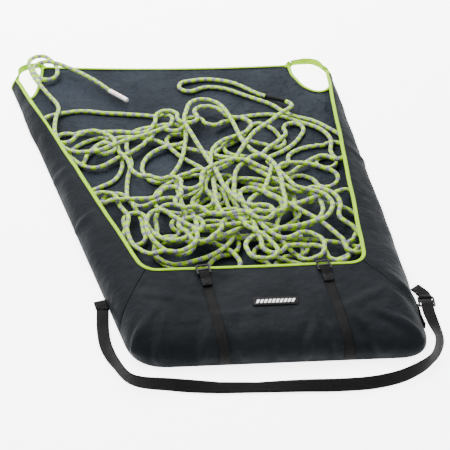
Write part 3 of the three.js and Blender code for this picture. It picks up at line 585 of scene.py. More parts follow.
# where the rope lies, seen from above, in millimetres: its loose turns, first laid to last
ropeTurns = [
    (98, -257), (125, -234), (150, -224), (177, -222), (209, -226), (230, -240), (245, -265),
    (240, -240), (255, -215), (274, -187), (287, -154), (296, -117), (301, -60), (279, -38), (249, -50),
    (219, -60), (184, -75), (154, -89), (130, -110), (118, -144), (120, -178), (131, -205), (149, -233),
    (168, -256), (201, -248), (209, -222), (204, -197), (170, -178), (153, -194), (124, -211),
    (98, -191), (72, -147), (50, -99), (54, -46), (93, -57), (135, -86), (171, -118), (209, -151),
    (235, -186), (256, -216), (279, -250), (291, -201), (277, -159), (250, -131), (257, -97), (250, -66),
    (229, -47), (202, -36), (173, -46), (146, -22), (115, 12), (83, 47), (62, 72), (40, 92), (17, 98),
    (-12, 124), (-40, 145), (-72, 177), (-98, 204), (-65, 204), (-98, 184), (-130, 159), (-149, 139),
    (-165, 93), (-150, 56), (-132, 40), (-107, 49), (-84, 83), (-72, 119), (-65, 161), (-62, 204),
    (-74, 237), (-109, 245), (-142, 239), (-174, 232), (-194, 206), (-197, 163), (-187, 115), (-194, 69),
    (-197, 14), (-193, -21), (-166, -49), (-142, -36), (-115, -23), (-84, -20), (-53, -7), (-31, 22),
    (-26, 72), (-43, 94), (-74, 127), (-111, 174), (-143, 192), (-175, 199), (-213, 200), (-245, 190),
    (-267, 175), (-286, 146), (-301, 113), (-333, 118), (-333, 152), (-312, 185), (-277, 209),
    (-252, 214), (-226, 197), (-213, 150), (-208, 98), (-225, 55), (-249, 37), (-270, 24), (-306, 0),
    (-287, -35), (-263, -40), (-248, -19), (-227, -4), (-206, -10), (-187, -35), (-178, -62),
    (-167, -89), (-163, -121), (-170, -153), (-183, -183), (-196, -131), (-199, -99), (-178, -74),
    (-164, -96), (-149, -134), (-135, -175), (-112, -197), (-84, -200), (-54, -180), (-35, -145),
    (-90, -147), (-69, -186), (-52, -216), (-4, -181), (8, -153), (31, -137), (46, -163), (66, -185),
    (91, -211), (105, -241), (108, -265), (60, -266), (51, -246), (47, -223), (57, -203), (77, -191),
    (104, -184), (132, -175), (160, -170), (189, -159), (218, -145), (236, -116), (239, -90), (224, -63),
    (195, -50), (168, -37), (153, -7), (141, 15), (138, 44), (168, 56), (200, 58), (232, 52), (255, 28),
    (265, -5), (238, 10), (215, 35), (185, 51), (152, 38), (126, 44), (102, 69), (80, 90), (65, 115),
    (26, 117), (0, 124), (20, 162), (45, 181), (70, 205), (84, 230), (98, 252), (122, 247), (144, 223),
    (156, 187), (160, 157), (110, 167), (78, 179), (51, 188), (23, 165), (30, 134), (65, 118),
    (100, 118), (123, 144), (146, 168), (166, 197), (180, 227), (178, 253), (202, 226), (202, 195),
    (184, 166), (158, 142), (129, 107), (129, 76), (149, 99), (172, 132), (201, 150), (232, 158),
    (265, 162), (295, 162), (314, 124), (289, 110), (262, 112), (245, 89), (243, 60), (251, 117),
    (270, 151), (269, 182), (251, 218), (225, 241), (197, 258), (168, 277), (138, 287), (100, 285),
    (66, 276), (31, 254), (-6, 238), (-43, 235), (-79, 237), (-48, 233), (-90, 225), (-120, 210),
    (-146, 184), (-165, 161), (-188, 141), (-219, 122), (-250, 100), (-275, 96), (-300, 109),
    (-323, 138), (-338, 165), (-358, 229), (-333, 227), (-297, 233), (-259, 227), (-213, 222),
    (-175, 213), (-149, 217), (-129, 255), (-120, 282), (-92, 274), (-67, 257), (-58, 219), (-47, 249),
    (-41, 283), (-3, 297), (21, 285), (41, 263), (68, 261), (91, 239), (83, 211), (51, 182), (20, 161),
    (-2, 130), (-10, 87), (-8, 39), (-8, -7), (-7, -52), (-5, -97), (9, -136), (42, -138), (73, -131),
    (100, -133), (131, -128), (140, -94), (138, -54), (138, -18), (133, 20), (121, 58), (97, 83),
    (70, 70), (45, 39), (37, -3), (37, -44), (52, -76), (75, -95), (99, -109), (132, -120), (126, -89),
    (102, -79), (104, -34), (115, 11), (123, 53), (112, 82), (87, 108), (67, 149), (48, 231), (32, 279),
    (16, 309), (-5, 324), (-28, 323), (-49, 302), (-58, 268), (-64, 227), (-48, 175), (-29, 124),
    (-16, 85), (-6, 46), (3, 4), (14, -43), (32, -79), (58, -109), (87, -121), (114, -133), (101, -158),
    (69, -144), (42, -134), (9, -140), (-23, -132), (-50, -111), (-77, -84), (-104, -69), (-65, -66),
    (-92, -62), (-128, -63), (-163, -58), (-199, -54), (-235, -53), (-259, -60), (-269, -31),
    (-248, -13), (-224, -19), (-211, -61), (-193, -99), (-196, -136), (-187, -177), (-173, -209),
    (-148, -241), (-119, -239), (-91, -246), (-65, -232), (-51, -207), (-57, -175), (-76, -156),
    (-105, -127), (-125, -108), (-149, -125), (-154, -165), (-141, -200), (-119, -225), (-93, -235),
    (-67, -226), (-51, -187), (-52, -142), (-66, -100), (-92, -82), (-119, -83), (-134, -110),
    (-132, -147), (-118, -179), (-76, -136), (-84, 44), (-50, 51), (-20, 59), (-29, -6), (-48, -68),
    (-30, -86), (-20, -56), (-29, -15), (-7, 39), (32, 65), (65, 122), (96, 180), (132, 219), (163, 259),
    (192, 300), (176, 327), (148, 350), (108, 382), (66, 418), (28, 434), (-6, 443), (-42, 437), (-69, 422),
    (-68, 395), (-43, 390), (-8, 405), (33, 400), (76, 375), (118, 348), (150, 324), (170, 299),
    (198, 276), (234, 258), (267, 224), (293, 187), (307, 132), (300, 93), (277, 95), (252, 106),
    (222, 98), (190, 75), (158, 44), (128, 27), (100, 38), (72, 58), (44, 64), (14, 52), (-16, 35),
    (-45, 8), (-86, -26), (-62, -1), (-102, 16), (-138, 33), (-169, 45), (-187, 71), (-194, 107),
    (-219, 140), (-245, 168), (-270, 159), (-244, 128), (-225, 140), (-222, 172), (-245, 203),
    (-277, 219), (-312, 204), (-340, 179), (-360, 207), (-383, 249), (-392, 286), (-372, 305),
    (-327, 322), (-294, 323), (-254, 315), (-194, 306), (-145, 297), (-119, 288), (-93, 269), (-97, 230),
    (-130, 205), (-175, 180), (-219, 151), (-263, 129), (-308, 137), (-342, 163), (-360, 212),
    (-363, 245), (-361, 290), (-357, 318), (-367, 354), (-389, 390), (-407, 421),
]

# the knot on the left corner loop, then the tail
ropeKnot = [
    (-421, 449), (-432, 481), (-437, 517), (-423, 538), (-403, 542), (-383, 523), (-369, 495), (-368, 468),
    (-384, 447), (-404, 453), (-420, 470), (-425, 492), (-412, 508), (-394, 512), (-370, 503), (-345, 488),
    (-312, 463), (-264, 421), (-237, 394),
]


def hiddenTurns():
    # the lower turns that carry the rest, flaked round and round from the pocket to the far turns
    pick = random.Random(rope["seed"])
    points = [(0.02, -0.47), (0.07, -0.45), (0.13, -0.43)]
    total, turn = 0.0, 0.0
    while total < rope["hidden"]:
        y = pick.uniform(-0.3, 0.2)
        x = 0.03 - y * 0.2 + pick.uniform(-0.13, 0.13)
        reach = pick.uniform(0.06, 0.12)
        squash = pick.uniform(0.5, 0.85)
        lean = pick.uniform(-0.6, 0.6)
        for k in range(9):
            turn += 2 * math.pi / 9 * 1.05
            c, s = math.cos(turn) * reach, math.sin(turn) * reach * squash
            points.append((x + c * math.cos(lean) - s * math.sin(lean),
                           y + c * math.sin(lean) + s * math.cos(lean)))
        total = lengths(np.asarray(points))[-1]
    return points


def insideBag(p):
    # turns under a wall stay clear of the seam where it meets the tarp
    y = p[:, 1] - bagShift[1]
    walled = y < wallEndY - 0.04
    low = sideX(-1, y) + bagShift[0] + rope["wallClear"]
    high = sideX(1, y) + bagShift[0] - rope["wallClear"]
    x = np.where(walled, np.clip(p[:, 0], low, high), p[:, 0])
    return np.stack([x, np.maximum(p[:, 1], bagShift[1] + rope["wallClear"])], 1)


def relaxed(path):
    # the rope opens its tight bends and keeps its spacing
    home, p = path.copy(), path.copy()
    step = rope["step"]
    for turn in range(rope["rounds"]):
        move = np.zeros_like(p)
        count = np.zeros(len(p))
        for gap in (1, 2, 4, 6, 8):
            wanted = 2 * rope["leastBend"] * math.sin(gap * step / (2 * rope["leastBend"]))
            d = p[gap:] - p[:-gap]
            reach = np.linalg.norm(d, axis=1)
            off = reach - step if gap == 1 else np.minimum(reach - wanted, 0)
            push = d * (0.5 * off / np.maximum(reach, 1e-9))[:, None]
            move[:-gap] += push
            move[gap:] -= push
            hit = (off != 0).astype(float)
            count[:-gap] += hit
            count[gap:] += hit
        p = p + move / np.maximum(count, 1)[:, None] * 1.3
        p = p + (home - p) * rope["pull"] * max(0, 1 - 1.6 * turn / rope["rounds"])
        p = insideBag(p)
        p[0], p[-1] = home[0], home[-1]
    return p


def crossings(path, d):
    over, under, rise = [], [], []
    for i in range(len(path)):
        first = max(0, i - int(0.055 / rope["step"]))
        if first:
            gap = np.linalg.norm(path[:first] - path[i], axis=1)
            near = np.nonzero(gap < d)[0]
            over.extend([i] * len(near))
            under.extend(near.tolist())
            rise.extend(np.sqrt(d * d - gap[near] ** 2).tolist())
    return np.array(over), np.array(under), np.array(rise)


def humped(z, low, high):
    # spreads each rise along the rope, as its stiffness does
    reach = int(rope["hump"] * 1.5 / rope["step"])
    d = rope["diameter"] * rope["bedded"]
    part = z[low:high].copy()
    out = part.copy()
    for k in range(1, min(reach, len(part) - 1) + 1):
        drop = d * (k * rope["step"] / rope["hump"]) ** 2
        out[k:] = np.maximum(out[k:], part[:-k] - drop)
        out[:-k] = np.maximum(out[:-k], part[k:] - drop)
    z[low:high] = out


def layered(path, floorZ):
    # laid down bit by bit: a turn slips under one that stands clear of it, and else rides over it
    d = rope["diameter"] * rope["bedded"]
    over, under, rise = crossings(path, d)
    z = floorZ.copy()
    for start in range(0, len(path), rope["bit"]):
        end = min(start + rope["bit"], len(path))
        mine = (over >= start) & (over < end)
        o, u, r = over[mine], under[mine], rise[mine]
        back = max(0, start - 12)
        for _ in range(14):
            before = z[start:end].copy()
            clash = z[o] > z[u] - r * 0.95
            np.maximum.at(z, o[clash], z[u[clash]] + r[clash])
            humped(z, back, end)
            if np.abs(z[start:end] - before).max() < 1e-5:
                break
    return z


# finishes

def coatedCloth(name, color, toneAndSheen, rough, crumpled=1.0, weave=0.0009):
    paint = Paint(name, Specular_IOR_Level=0.05)
    place = paint.place()
    axes = paint.node("ShaderNodeSeparateXYZ", {}, {0: place}).socket.node
    x, y, z = (Wire(paint, axes.outputs[k]) for k in range(3))
    across, down = (x + z * 0.6).wave(weave), (y - z * 0.8).wave(weave)
    threads = across * 0.5 + down * 0.5
    patchy = paint.noise(7.0, 4.0, 0.55, stretch=(1, 0.6, 1)).within(0.3, 0.72)
    scuff = paint.noise(60.0, 5.0, 0.62).within(0.52, 0.74)
    speck = paint.noise(420.0, 2.0, 0.6).within(0.3, 0.8)
    # patches towards the second colour: a random tone on the shell; on the tarp a lighter bluish-grey that is
    # partly its coated face's own colour and partly painted sheen and painted light on its soft folds
    base = paint.mix(patchy * 0.75, color, toneAndSheen)
    worn = paint.mix(scuff * 0.16, base, tuple(min(c * 1.9, 1) for c in color))
    paint.set(Base_Color=paint.mix(speck * threads * 0.3, worn, tuple(c * 0.55 for c in color)),
              Roughness=scuff * 0.12 + patchy * -0.06 + rough)
    crumple = paint.noise(16.0, 3.0, 0.5, stretch=(1, 1, 0.6)) + paint.noise(42.0, 3.0, 0.5) * 0.3
    paint.bump(crumple * (6.0 * crumpled) + threads * 0.05 + speck * 0.08, 0.6, 0.0028)
    return paint.material


def tape(name, color, dark, rib, rough=0.75):
    # woven tape: ribs across it, a finer cord between them, both from the piece's own layout
    paint = Paint(name, Specular_IOR_Level=0.2)
    along, around = paint.uv()
    ribs = along.wave(rib)
    threads = around.wave(rib * 1.15)
    fuzz = paint.noise(260.0, 4.0, 0.6)
    fade = paint.noise(12.0, 3.0, 0.5).within(0.3, 0.75)
    weave = ribs * 0.65 + ribs * threads * 0.35
    base = paint.mix(weave * 0.6 + fuzz * 0.35, dark, color)
    paint.set(Base_Color=paint.mix(fade * 0.3, base, tuple(min(c * 1.15, 1) for c in color)),
              Roughness=fuzz * 0.15 + rough)
    paint.bump(weave + fuzz * 0.3, 0.55, 0.0005)
    return paint.material


def twill(name, color, dark, pitch=0.0016):
    # strong webbing with a herringbone face
    paint = Paint(name, Specular_IOR_Level=0.08)
    along, around = paint.uv()
    zig = (around / (pitch * 3.0)).fraction() - 0.5
    weave = (along + zig.size() * (pitch * 3.0)).wave(pitch)
    fuzz = paint.noise(300.0, 4.0, 0.6)
    paint.set(Base_Color=paint.mix(weave * 0.7 + fuzz * 0.3, dark, color), Roughness=fuzz * 0.2 + 0.5)
    paint.bump(weave + fuzz * 0.25, 0.6, 0.0005)
    return paint.material


def sheathFinish(markAt):
    # braided sheath: lime patches and lavender-grey ones trade places along it and round it
    paint = Paint("ropeSheath", Specular_IOR_Level=0.12)
    along, around = paint.uv()
    pitch = 0.021
    turn = around + along * 2.3
    lime = (0.40, 0.66, 0.006)
    deepLime = (0.17, 0.34, 0.004)
    lilac = (0.30, 0.29, 0.37)
    dusk = (0.045, 0.045, 0.085)
    # pale: painted highlight flecked onto the lime strands
    paleHighlight = (0.60, 0.62, 0.50)
    crossing = (along / pitch + turn).wave(1.0) + (along / pitch - turn).wave(1.0)
    strandA = (along / 0.0027 + turn * 6.0).wave(1.0)
    strandB = (along / 0.0027 - turn * 6.0).wave(1.0)
    checks = (strandA * strandB).within(0.15, 0.5)
    ragged = paint.noise(240.0, 2.0, 0.6) - 0.5
    patch = (crossing + (checks - 0.5) * 0.22 + ragged * 0.8).within(0.98, 1.1)
    short = pitch * 0.37
    tracerAndHighlight = (along / short + turn * 3.0).wave(1.0) * (along / short - turn * 3.0).wave(1.0)
    fleck = (tracerAndHighlight + ragged * 0.3).within(0.5, 0.64)
    # the same flecks put painted highlights on the lime and darker dusk strands on the lilac
    limePart = paint.mix(fleck * 0.5, lime, paleHighlight)
    lilacPart = paint.mix(fleck, lilac, dusk)
    weave = paint.mix(checks * 0.5 + 0.5, deepLime, limePart)
    greyWeave = paint.mix(checks * 0.5 + 0.5, tuple(c * 0.4 for c in lilac), lilacPart)
    spotted = paint.mix(patch, weave, greyWeave)
    marked = (along - markAt).size().within(0.0305, 0.0295)
    paint.set(Base_Color=paint.mix(marked, spotted, (0.004, 0.004, 0.005)), Roughness=checks * -0.12 + 0.8)
    paint.bump(checks * 0.8 + fleck * 0.3, 0.7, 0.0007)
    return paint.material


def mouldedPlastic():
    paint = Paint("blackPlastic", Specular_IOR_Level=0.1)
    grain = paint.noise(900.0, 3.0, 0.6)
    scratch = paint.noise(90.0, 4.0, 0.7, stretch=(1, 7, 1)).within(0.6, 0.72)
    paint.set(Base_Color=paint.mix(scratch * 0.4, (0.003, 0.003, 0.0035), (0.015, 0.015, 0.016)),
              Roughness=grain * 0.1 + scratch * 0.12 + 0.3)
    paint.bump(grain * 0.4 + scratch * 0.2, 0.15, 0.0002)
    return paint.material


def patchRubber(name, color, lift, rough):
    paint = Paint(name, Specular_IOR_Level=0.08)
    grain = paint.noise(700.0, 3.0, 0.6)
    dust = paint.noise(40.0, 4.0, 0.6).within(0.55, 0.8)
    paint.set(Base_Color=paint.mix(dust * 0.3 + grain * 0.2, color, lift), Roughness=grain * 0.15 + rough)
    paint.bump(grain, 0.2, 0.0003)
    return paint.material


def sleeveFinish():
    # white shrink sleeve with pale pink marks that stand for the maker's print
    paint = Paint("sleevePlastic", Specular_IOR_Level=0.5, Subsurface_Weight=0.1)
    along, around = paint.uv()
    grain = paint.noise(500.0, 3.0, 0.6)
    band = (along / 0.011).fraction().within(0.42, 0.5)
    side = (around - 0.25).size().within(0.2, 0.16)
    ends = (along - 0.029).size().within(0.022, 0.019)
    white = paint.mix(grain * 0.3, (0.82, 0.8, 0.8), (0.68, 0.66, 0.68))
    paint.set(Base_Color=paint.mix(band * side * ends * 0.8, white, (0.82, 0.36, 0.4)),
              Roughness=grain * 0.2 + 0.3)
    paint.bump(grain, 0.25, 0.0004)
    return paint.material


def threadFinish(name, color):
    paint = Paint(name, Specular_IOR_Level=0.35, Sheen_Weight=0.2)
    twist = paint.noise(1400.0, 2.0, 0.6)
    paint.set(Base_Color=paint.mix(twist * 0.6, color, tuple(c * 0.5 for c in color)),
              Roughness=twist * 0.2 + 0.55)
    paint.bump(twist, 0.4, 0.0002)
    return paint.material


# rope pieces

def ceiling(x, y):
    # the underside of the bag's wall above this place, or none
    hit = shellTree.ray_cast(Vector((x, y, -0.01)), Vector((0, 0, 1)))[0]
    return 9.0 if hit is None else hit.z - 0.0022 - rope["diameter"] / 2


def ropePath():
    route = hiddenTurns() + [(x / 1000, y / 1000) for x, y in ropeTurns + ropeKnot]
    path = relaxed(throughPoints(route, rope["step"]))
    path = evenly(path, round(lengths(path)[-1] / rope["step"]))
    floorZ = np.array([tarpHeight(x, y) for x, y in path]) + rope["diameter"] / 2
    for x, y, z, wide in rope["overTape"]:
        near = np.linalg.norm(path - np.array([x, y]), axis=1) < wide
        floorZ[near] = np.maximum(floorZ[near], z)
    z = layered(path, floorZ)
    z = np.where(z > rope["tall"], rope["tall"] + (z - rope["tall"]) * 0.5, z)
    for _ in range(4):
        z[1:-1] = (z[:-2] + 2 * z[1:-1] + z[2:]) / 4
    z = np.minimum(z, [ceiling(x, y) for x, y in path])
    for _ in range(3):
        z[1:-1] = (z[:-2] + 2 * z[1:-1] + z[2:]) / 4
    return np.column_stack([path, np.maximum(z, rope["diameter"] / 2 + bag["fabric"])])


def markPlace():
    # how far along the rope its black middle mark is
    gap = np.linalg.norm(loosePath[:, :2] - np.array(rope["markAt"]), axis=1)
    return float(lengths(loosePath)[int(np.argmin(gap))])


loosePath = ropePath()
print("rope laid:", round(lengths(loosePath)[-1], 2), "m, highest",
      round(loosePath[:, 2].max() * 1000, 1), "mm")


def tubeMesh(name, path, radius, sides, material):
    path = np.asarray(path, float)
    tangent = unit(np.gradient(path, axis=0))
    normal = unit(np.cross(tangent[0], (0, 0, 1)))
    verts = []
    for p, t in zip(path, tangent):
        normal = unit(normal - t * np.dot(normal, t))
        side = np.cross(t, normal)
        for k in range(sides):
            turn = 2 * math.pi * k / sides
            verts.append(p + radius * (math.cos(turn) * normal + math.sin(turn) * side))
    return ringMesh(name, verts, lengths(path), [k / sides for k in range(sides + 1)], material)


sleeveSides = 20
# how far each ring stands along the sleeve, and its share of the rope's radius
sleeveRings = [(-0.002, 1.0), (0.0, 1.09), (0.0012, 1.13), (0.02, 1.1), (0.038, 1.12), (0.054, 1.09),
               (0.0572, 1.02), (0.058, 0.9), (0.0578, 0.72), (0.0575, 0.4)]


def addRope():
    radius = rope["diameter"] / 2
    cord = tubeMesh("climbingRope", loosePath, radius, rope["sides"], sheathFinish(markPlace()))
    settle(cord, "rope", "bag", "rope_pile", "rope_lead", "rope_tail", "rope_bight", "rope_knot_ring")
    way = unit(loosePath[-1] - loosePath[-4])
    way[2] = 0
    way = unit(way)
    up = np.array([0, 0, 1.0])
    side = np.cross(way, up)
    lay = loosePath[-1] + up * 0.0008
    turns = [2 * math.pi * k / sleeveSides for k in range(sleeveSides)]
    verts = [lay + way * t + radius * share * (math.cos(turn) * side + math.sin(turn) * up)
             for t, share in sleeveRings for turn in turns]
    sleeve = ringMesh("ropeEndSleeve", verts, [t for t, share in sleeveRings],
                      [k / sleeveSides for k in range(sleeveSides + 1)], sleeveFinish())
    settle(sleeve, "sleeve", "bag", "rope_end_sleeve")


addRope()
print("rope made")

# cloth pieces

shellCloth = coatedCloth("shellCloth", (0.0052, 0.0066, 0.0082), (0.0082, 0.010, 0.0122), 0.7)
# the tarp's lighter, bluer colours are partly its own slate-grey coated face and partly painted sheen, the
# light its flat face catches
tarpCloth = coatedCloth("tarpCloth", (0.0066, 0.009, 0.0126), (0.0155, 0.0205, 0.0285), 0.6, 2.0)
limeTape = tape("limeTape", (0.30, 0.54, 0.0015), (0.17, 0.34, 0.001), 0.0016)
blackWebbing = twill("blackWebbing", (0.0042, 0.0042, 0.0046), (0.001, 0.001, 0.0012))
limeThread = threadFinish("limeThread", (0.75, 0.92, 0.18))
blackThread = threadFinish("blackThread", (0.006, 0.006, 0.0065))
blackPlastic = mouldedPlastic()
patchBlack = patchRubber("patchBlack", (0.0012, 0.0012, 0.0014), (0.005, 0.005, 0.005), 0.5)
markWhite = patchRubber("markWhite", (0.8, 0.8, 0.8), (0.6, 0.6, 0.6), 0.5)


def clothPanel(name, grid, normals, node):
    half = bag["fabric"] / 2
    n, m = grid.shape[:2]
    verts = np.concatenate([(grid + normals * half).reshape(-1, 3), (grid - normals * half).reshape(-1, 3)])
    s = lengths(grid[:, m // 2])
    t = [lengths(grid[i]) for i in range(n)]
    faces, uvs = [], []
    spot = lambda i, j: (s[i], t[i][j])
    at = lambda layer, i, j: layer * n * m + i * m + j

    def quad(*corners):
        faces.append(tuple(at(*c) for c in corners))
        uvs.append(tuple(spot(c[1], c[2]) for c in corners))

    for i in range(n - 1):
        for j in range(m - 1):
            quad((0, i, j), (0, i + 1, j), (0, i + 1, j + 1), (0, i, j + 1))
            quad((1, i, j), (1, i, j + 1), (1, i + 1, j + 1), (1, i + 1, j))
        quad((0, i, 0), (1, i, 0), (1, i + 1, 0), (0, i + 1, 0))
        quad((0, i, m - 1), (0, i + 1, m - 1), (1, i + 1, m - 1), (1, i, m - 1))
    for j in range(m - 1):
        quad((0, 0, j), (0, 0, j + 1), (1, 0, j + 1), (1, 0, j))
        quad((0, n - 1, j), (1, n - 1, j), (1, n - 1, j + 1), (0, n - 1, j + 1))
    panel = finishMesh(name, verts, faces, shellCloth, uvs)
    settle(panel, "shell", "bag", node)


def gridArea(grid):
    a = grid[1:, :-1] - grid[:-1, :-1]
    b = grid[:-1, 1:] - grid[:-1, :-1]
    return float(np.linalg.norm(np.cross(a, b), axis=2).sum())


def addShell():
    cuts = (("leftWall", 0, leftSeam, "left_wall"), ("frontPocket", leftSeam, rightSeam, "front_pocket"),
            ("rightWall", rightSeam, allGrid.shape[0] - 1, "right_wall"))
    for name, first, last, node in cuts:
        grid = allGrid[first:last + 1].copy()
        normals = allNormals[first:last + 1]
        if first:
            grid[0] += unit(grid[1] - grid[0]) * shell["seamGap"] / 2
        if last < allGrid.shape[0] - 1:
            grid[-1] += unit(grid[-2] - grid[-1]) * shell["seamGap"] / 2
        area = gridArea(grid)
        clothPanel(name, grid, normals, node)


addShell()
print("walls and pocket made")


def cutOutCurve(side, count=26):
    corner = sideX(side, bag["length"])
    start = farPoint(corner - side * bag["cutWidth"])
    end = onSide(side, wallEndY)
    deep = start + np.array([0, -bag["cutDepth"]])
    turn = onSide(side, wallEndY - bag["cutDepth"])
    turn[0] -= side * bag["cutTurn"]
    t = np.linspace(0, 1, count)[:, None]
    return (1 - t) ** 3 * start + 3 * (1 - t) ** 2 * t * deep + 3 * (1 - t) * t * t * turn + t ** 3 * end


def farCurve(count=60):
    start, end = cutOutCurve(-1)[0], cutOutCurve(1)[0]
    middle = (start + end) / 2 - np.array([0, bag["farDip"]])
    return bend(start, middle, end, count)


def thinned(path, gap):
    kept = [path[0]]
    for p in path[1:]:
        if np.linalg.norm(p - kept[-1]) >= gap:
            kept.append(p)
    return np.array(kept)


def addTarp():
    left, right = groundCornerCurves(-1), groundCornerCurves(1)
    front = np.vstack([*left[1], right[1][1][::-1], right[1][0][::-1]])
    loop = [front, np.linspace(right[0], onSide(1, wallEndY), 90)[1:], cutOutCurve(1)[::-1][1:],
            farCurve()[::-1][1:], cutOutCurve(-1)[1:], np.linspace(onSide(-1, wallEndY), left[0], 90)[1:-1]]
    outline = thinned(np.vstack(loop), 0.003) + bagShift[:2]
    n = len(outline)
    inside = lambda x, y: sum(
        ((a[1] > y) != (b[1] > y)) and (x < (b[0] - a[0]) * (y - a[1]) / (b[1] - a[1]) + a[0])
        for a, b in zip(outline, np.roll(outline, -1, axis=0))) % 2
    pitch = 0.011
    low, high = outline.min(0), outline.max(0)
    points = [Vector(p) for p in outline]
    for row, y in enumerate(np.arange(low[1] + pitch / 2, high[1], pitch)):
        for x in np.arange(low[0] + (row % 2) * pitch / 2, high[0], pitch):
            if np.linalg.norm(outline - (x, y), axis=1).min() > pitch * 0.55 and inside(x, y):
                points.append(Vector((x, y)))
    edges = [(k, (k + 1) % n) for k in range(n)]
    flatVerts, _, flatFaces = delaunay_2d_cdt(points, edges, [], 1, 1e-6)[:3]
    top = [(v.x, v.y, tarpHeight(v.x, v.y)) for v in flatVerts]
    bottom = [(x, y, z - bag["fabric"]) for x, y, z in top]
    count = len(top)
    faces = [tuple(f) for f in flatFaces] + [tuple(i + count for i in reversed(f)) for f in flatFaces]
    sides = dict.fromkeys((a, b) for f in flatFaces for a, b in zip(f, f[1:] + f[:1]))
    faces += [(b, a, a + count, b + count) for a, b in sides if (b, a) not in sides]
    verts = top + bottom
    uvs = [tuple((verts[i][0], verts[i][1]) for i in f) for f in faces]
    tarp = finishMesh("floorTarp", verts, faces, tarpCloth, uvs)
    settle(tarp, "floor", "bag", "base_tarp")
    area = 0.5 * abs(sum(a[0] * b[1] - b[0] * a[1] for a, b in zip(outline, np.roll(outline, -1, axis=0))))


addTarp()
print("tarp made")

# bound edges

binding = {"wall": 0.001, "overlap": 0.006, "lip": 0.0021, "slot": 0.00105, "wander": 0.0016}


def channel():
    s, w, o, lip = binding["slot"], binding["wall"], binding["overlap"], binding["lip"]
    outer = [(-o, -s - w * 0.7), (-o * 0.55, -s - w), (0, -s - w), (lip * 0.8, -s * 0.9), (lip, 0),
             (lip * 0.8, s * 0.9), (0, s + w), (-o * 0.55, s + w), (-o, s + w * 0.7)]
    inner = [(-o, s), (-o * 0.5, s), (0.0003, s), (0.0003, -s), (-o * 0.5, -s), (-o, -s)]
    return outer + inner


def addBinding(name, frames, node):
    settle(sweep(name, channel(), frames, limeTape), "binding", "bag", node)


def edgeFrames(edge, inside):
    # a runs out past the cloth's edge and b stands off its outer face
    edge, inside = np.asarray(edge), np.asarray(inside)
    along = unit(np.gradient(edge, axis=0))
    frames = []
    for p, q, t in zip(edge, inside, along):
        a = unit(p - q)
        a = unit(a - t * np.dot(a, t))
        frames.append((p, a, np.cross(a, t)))
    return frames


def chordPoint(row, reach):
    # the point on a grid row, this far in from its mouth edge
    s = lengths(row[::-1])
    return np.array([np.interp(reach, s, row[::-1][:, k]) for k in range(3)])


mouthEdge = allGrid[:, -1]
mouthInside = np.array([chordPoint(row, binding["overlap"]) for row in allGrid])
mouthFrames = [(p + a * binding["wander"] * waves(*p, 0.07, 2.3), a, b)
               for p, a, b in edgeFrames(mouthEdge, mouthInside)]
addBinding("mouthBinding", mouthFrames, "mouth_binding")


def addWallEnd(name, index, near, node):
    edge, inside = allGrid[index], allGrid[near]
    s = lengths(edge)
    keep = (s > 0.0015) & (s < s[-1] - binding["overlap"] - 0.001)
    frames = [(p, a, b if np.dot(b, o) > 0 else -b)
              for (p, a, b), o in zip(edgeFrames(edge[keep], inside[keep]), allNormals[index][keep])]
    addBinding(name, frames, node)
    return frames


leftEnd = addWallEnd("leftWallEndBinding", 0, 3, "left_wall_end_binding")
rightEnd = addWallEnd("rightWallEndBinding", allGrid.shape[0] - 1, allGrid.shape[0] - 4,
                      "right_wall_end_binding")


def tarpEdge(path, outSign, startTrim, endTrim):
    path = np.asarray(path) + bagShift[:2]
    s = lengths(path)
    t = np.linspace(startTrim, s[-1] - endTrim, max(8, int(s[-1] / 0.006)))
    line = np.stack([np.interp(t, s, path[:, k]) for k in (0, 1)], 1)
    along = unit(np.gradient(line, axis=0))
    frames = []
    for p, d in zip(line, along):
        out = np.array([-d[1], d[0], 0]) * outSign
        z = tarpHeight(p[0], p[1]) - bag["fabric"] / 2
        frames.append((np.array([p[0], p[1], max(z, 0.0021)]), out, np.array([0, 0, 1.0])))
    return frames


farFrames = tarpEdge(farCurve(), 1, 0.001, 0.001)
addBinding("farEdgeBinding", farFrames, "far_edge_binding")
cutFrames = {}
for side, name in ((-1, "left"), (1, "right")):
    cutFrames[side] = tarpEdge(cutOutCurve(side), side, 0.009, 0.02)
    addBinding(f"{name}CutoutBinding", cutFrames[side], f"{name}_cutout_binding")
print("bindings made")

# tape loops across the corner cut-outs

cornerLoop = {
    "width": 0.015, "thickness": 0.0014, "bulge": 0.02, "sewn": 0.014, "clear": 0.0006,
    "rim": {-1: (-0.4578, 0.44221, 0.03), 1: (0.28295, 0.44071, 0.03)},
    "far": {-1: (-0.41197, 0.52568, 0.009), 1: (0.20971, 0.50139, 0.009)},
    "out": {-1: (-0.877, 0.481, 0), 1: (0.638, 0.77, 0)}, "lean": {-1: 0.35, 1: 0.7},
}


def loopPath(side):
    # from the rim's end, out over the cut-out, to the tarp's corner
    a, b = np.array(cornerLoop["rim"][side]), np.array(cornerLoop["far"][side])
    out = unit(np.array(cornerLoop["out"][side]))
    points, across = [], []
    for t in np.linspace(0, 1, 33):
        bow = math.sin(math.pi * t)
        points.append(a + (b - a) * t + out * cornerLoop["bulge"] * bow + np.array([0, 0, 0.0015]) * bow)
        lean = cornerLoop["lean"][side] * math.sin(math.pi * t) ** 2
        across.append(np.array([0, 0, 1.0]) * math.cos(lean) + out * math.sin(lean))
    return points, across


def tabPath(side, points):
    # the tape's sewn end: flat on the tarp's corner, turning up on edge where the loop leaves it
    corner = cutOutCurve(side)[0] + bagShift[:2]
    inward = unit(np.array([-side * 0.55, -1.0, 0]))
    flat = np.array([corner[0], corner[1], 0.0036]) + inward * cornerLoop["sewn"]
    edge = np.array([corner[0], corner[1], 0.0052])
    last = points[-1] + unit(points[-1] - points[-2]) * cornerLoop["clear"]
    level = np.cross(inward, (0, 0, 1))
    return [flat, edge, last], [unit(level), unit(level * 0.8 + np.array([0, 0, 0.6]) * side), (0, 0, side)]


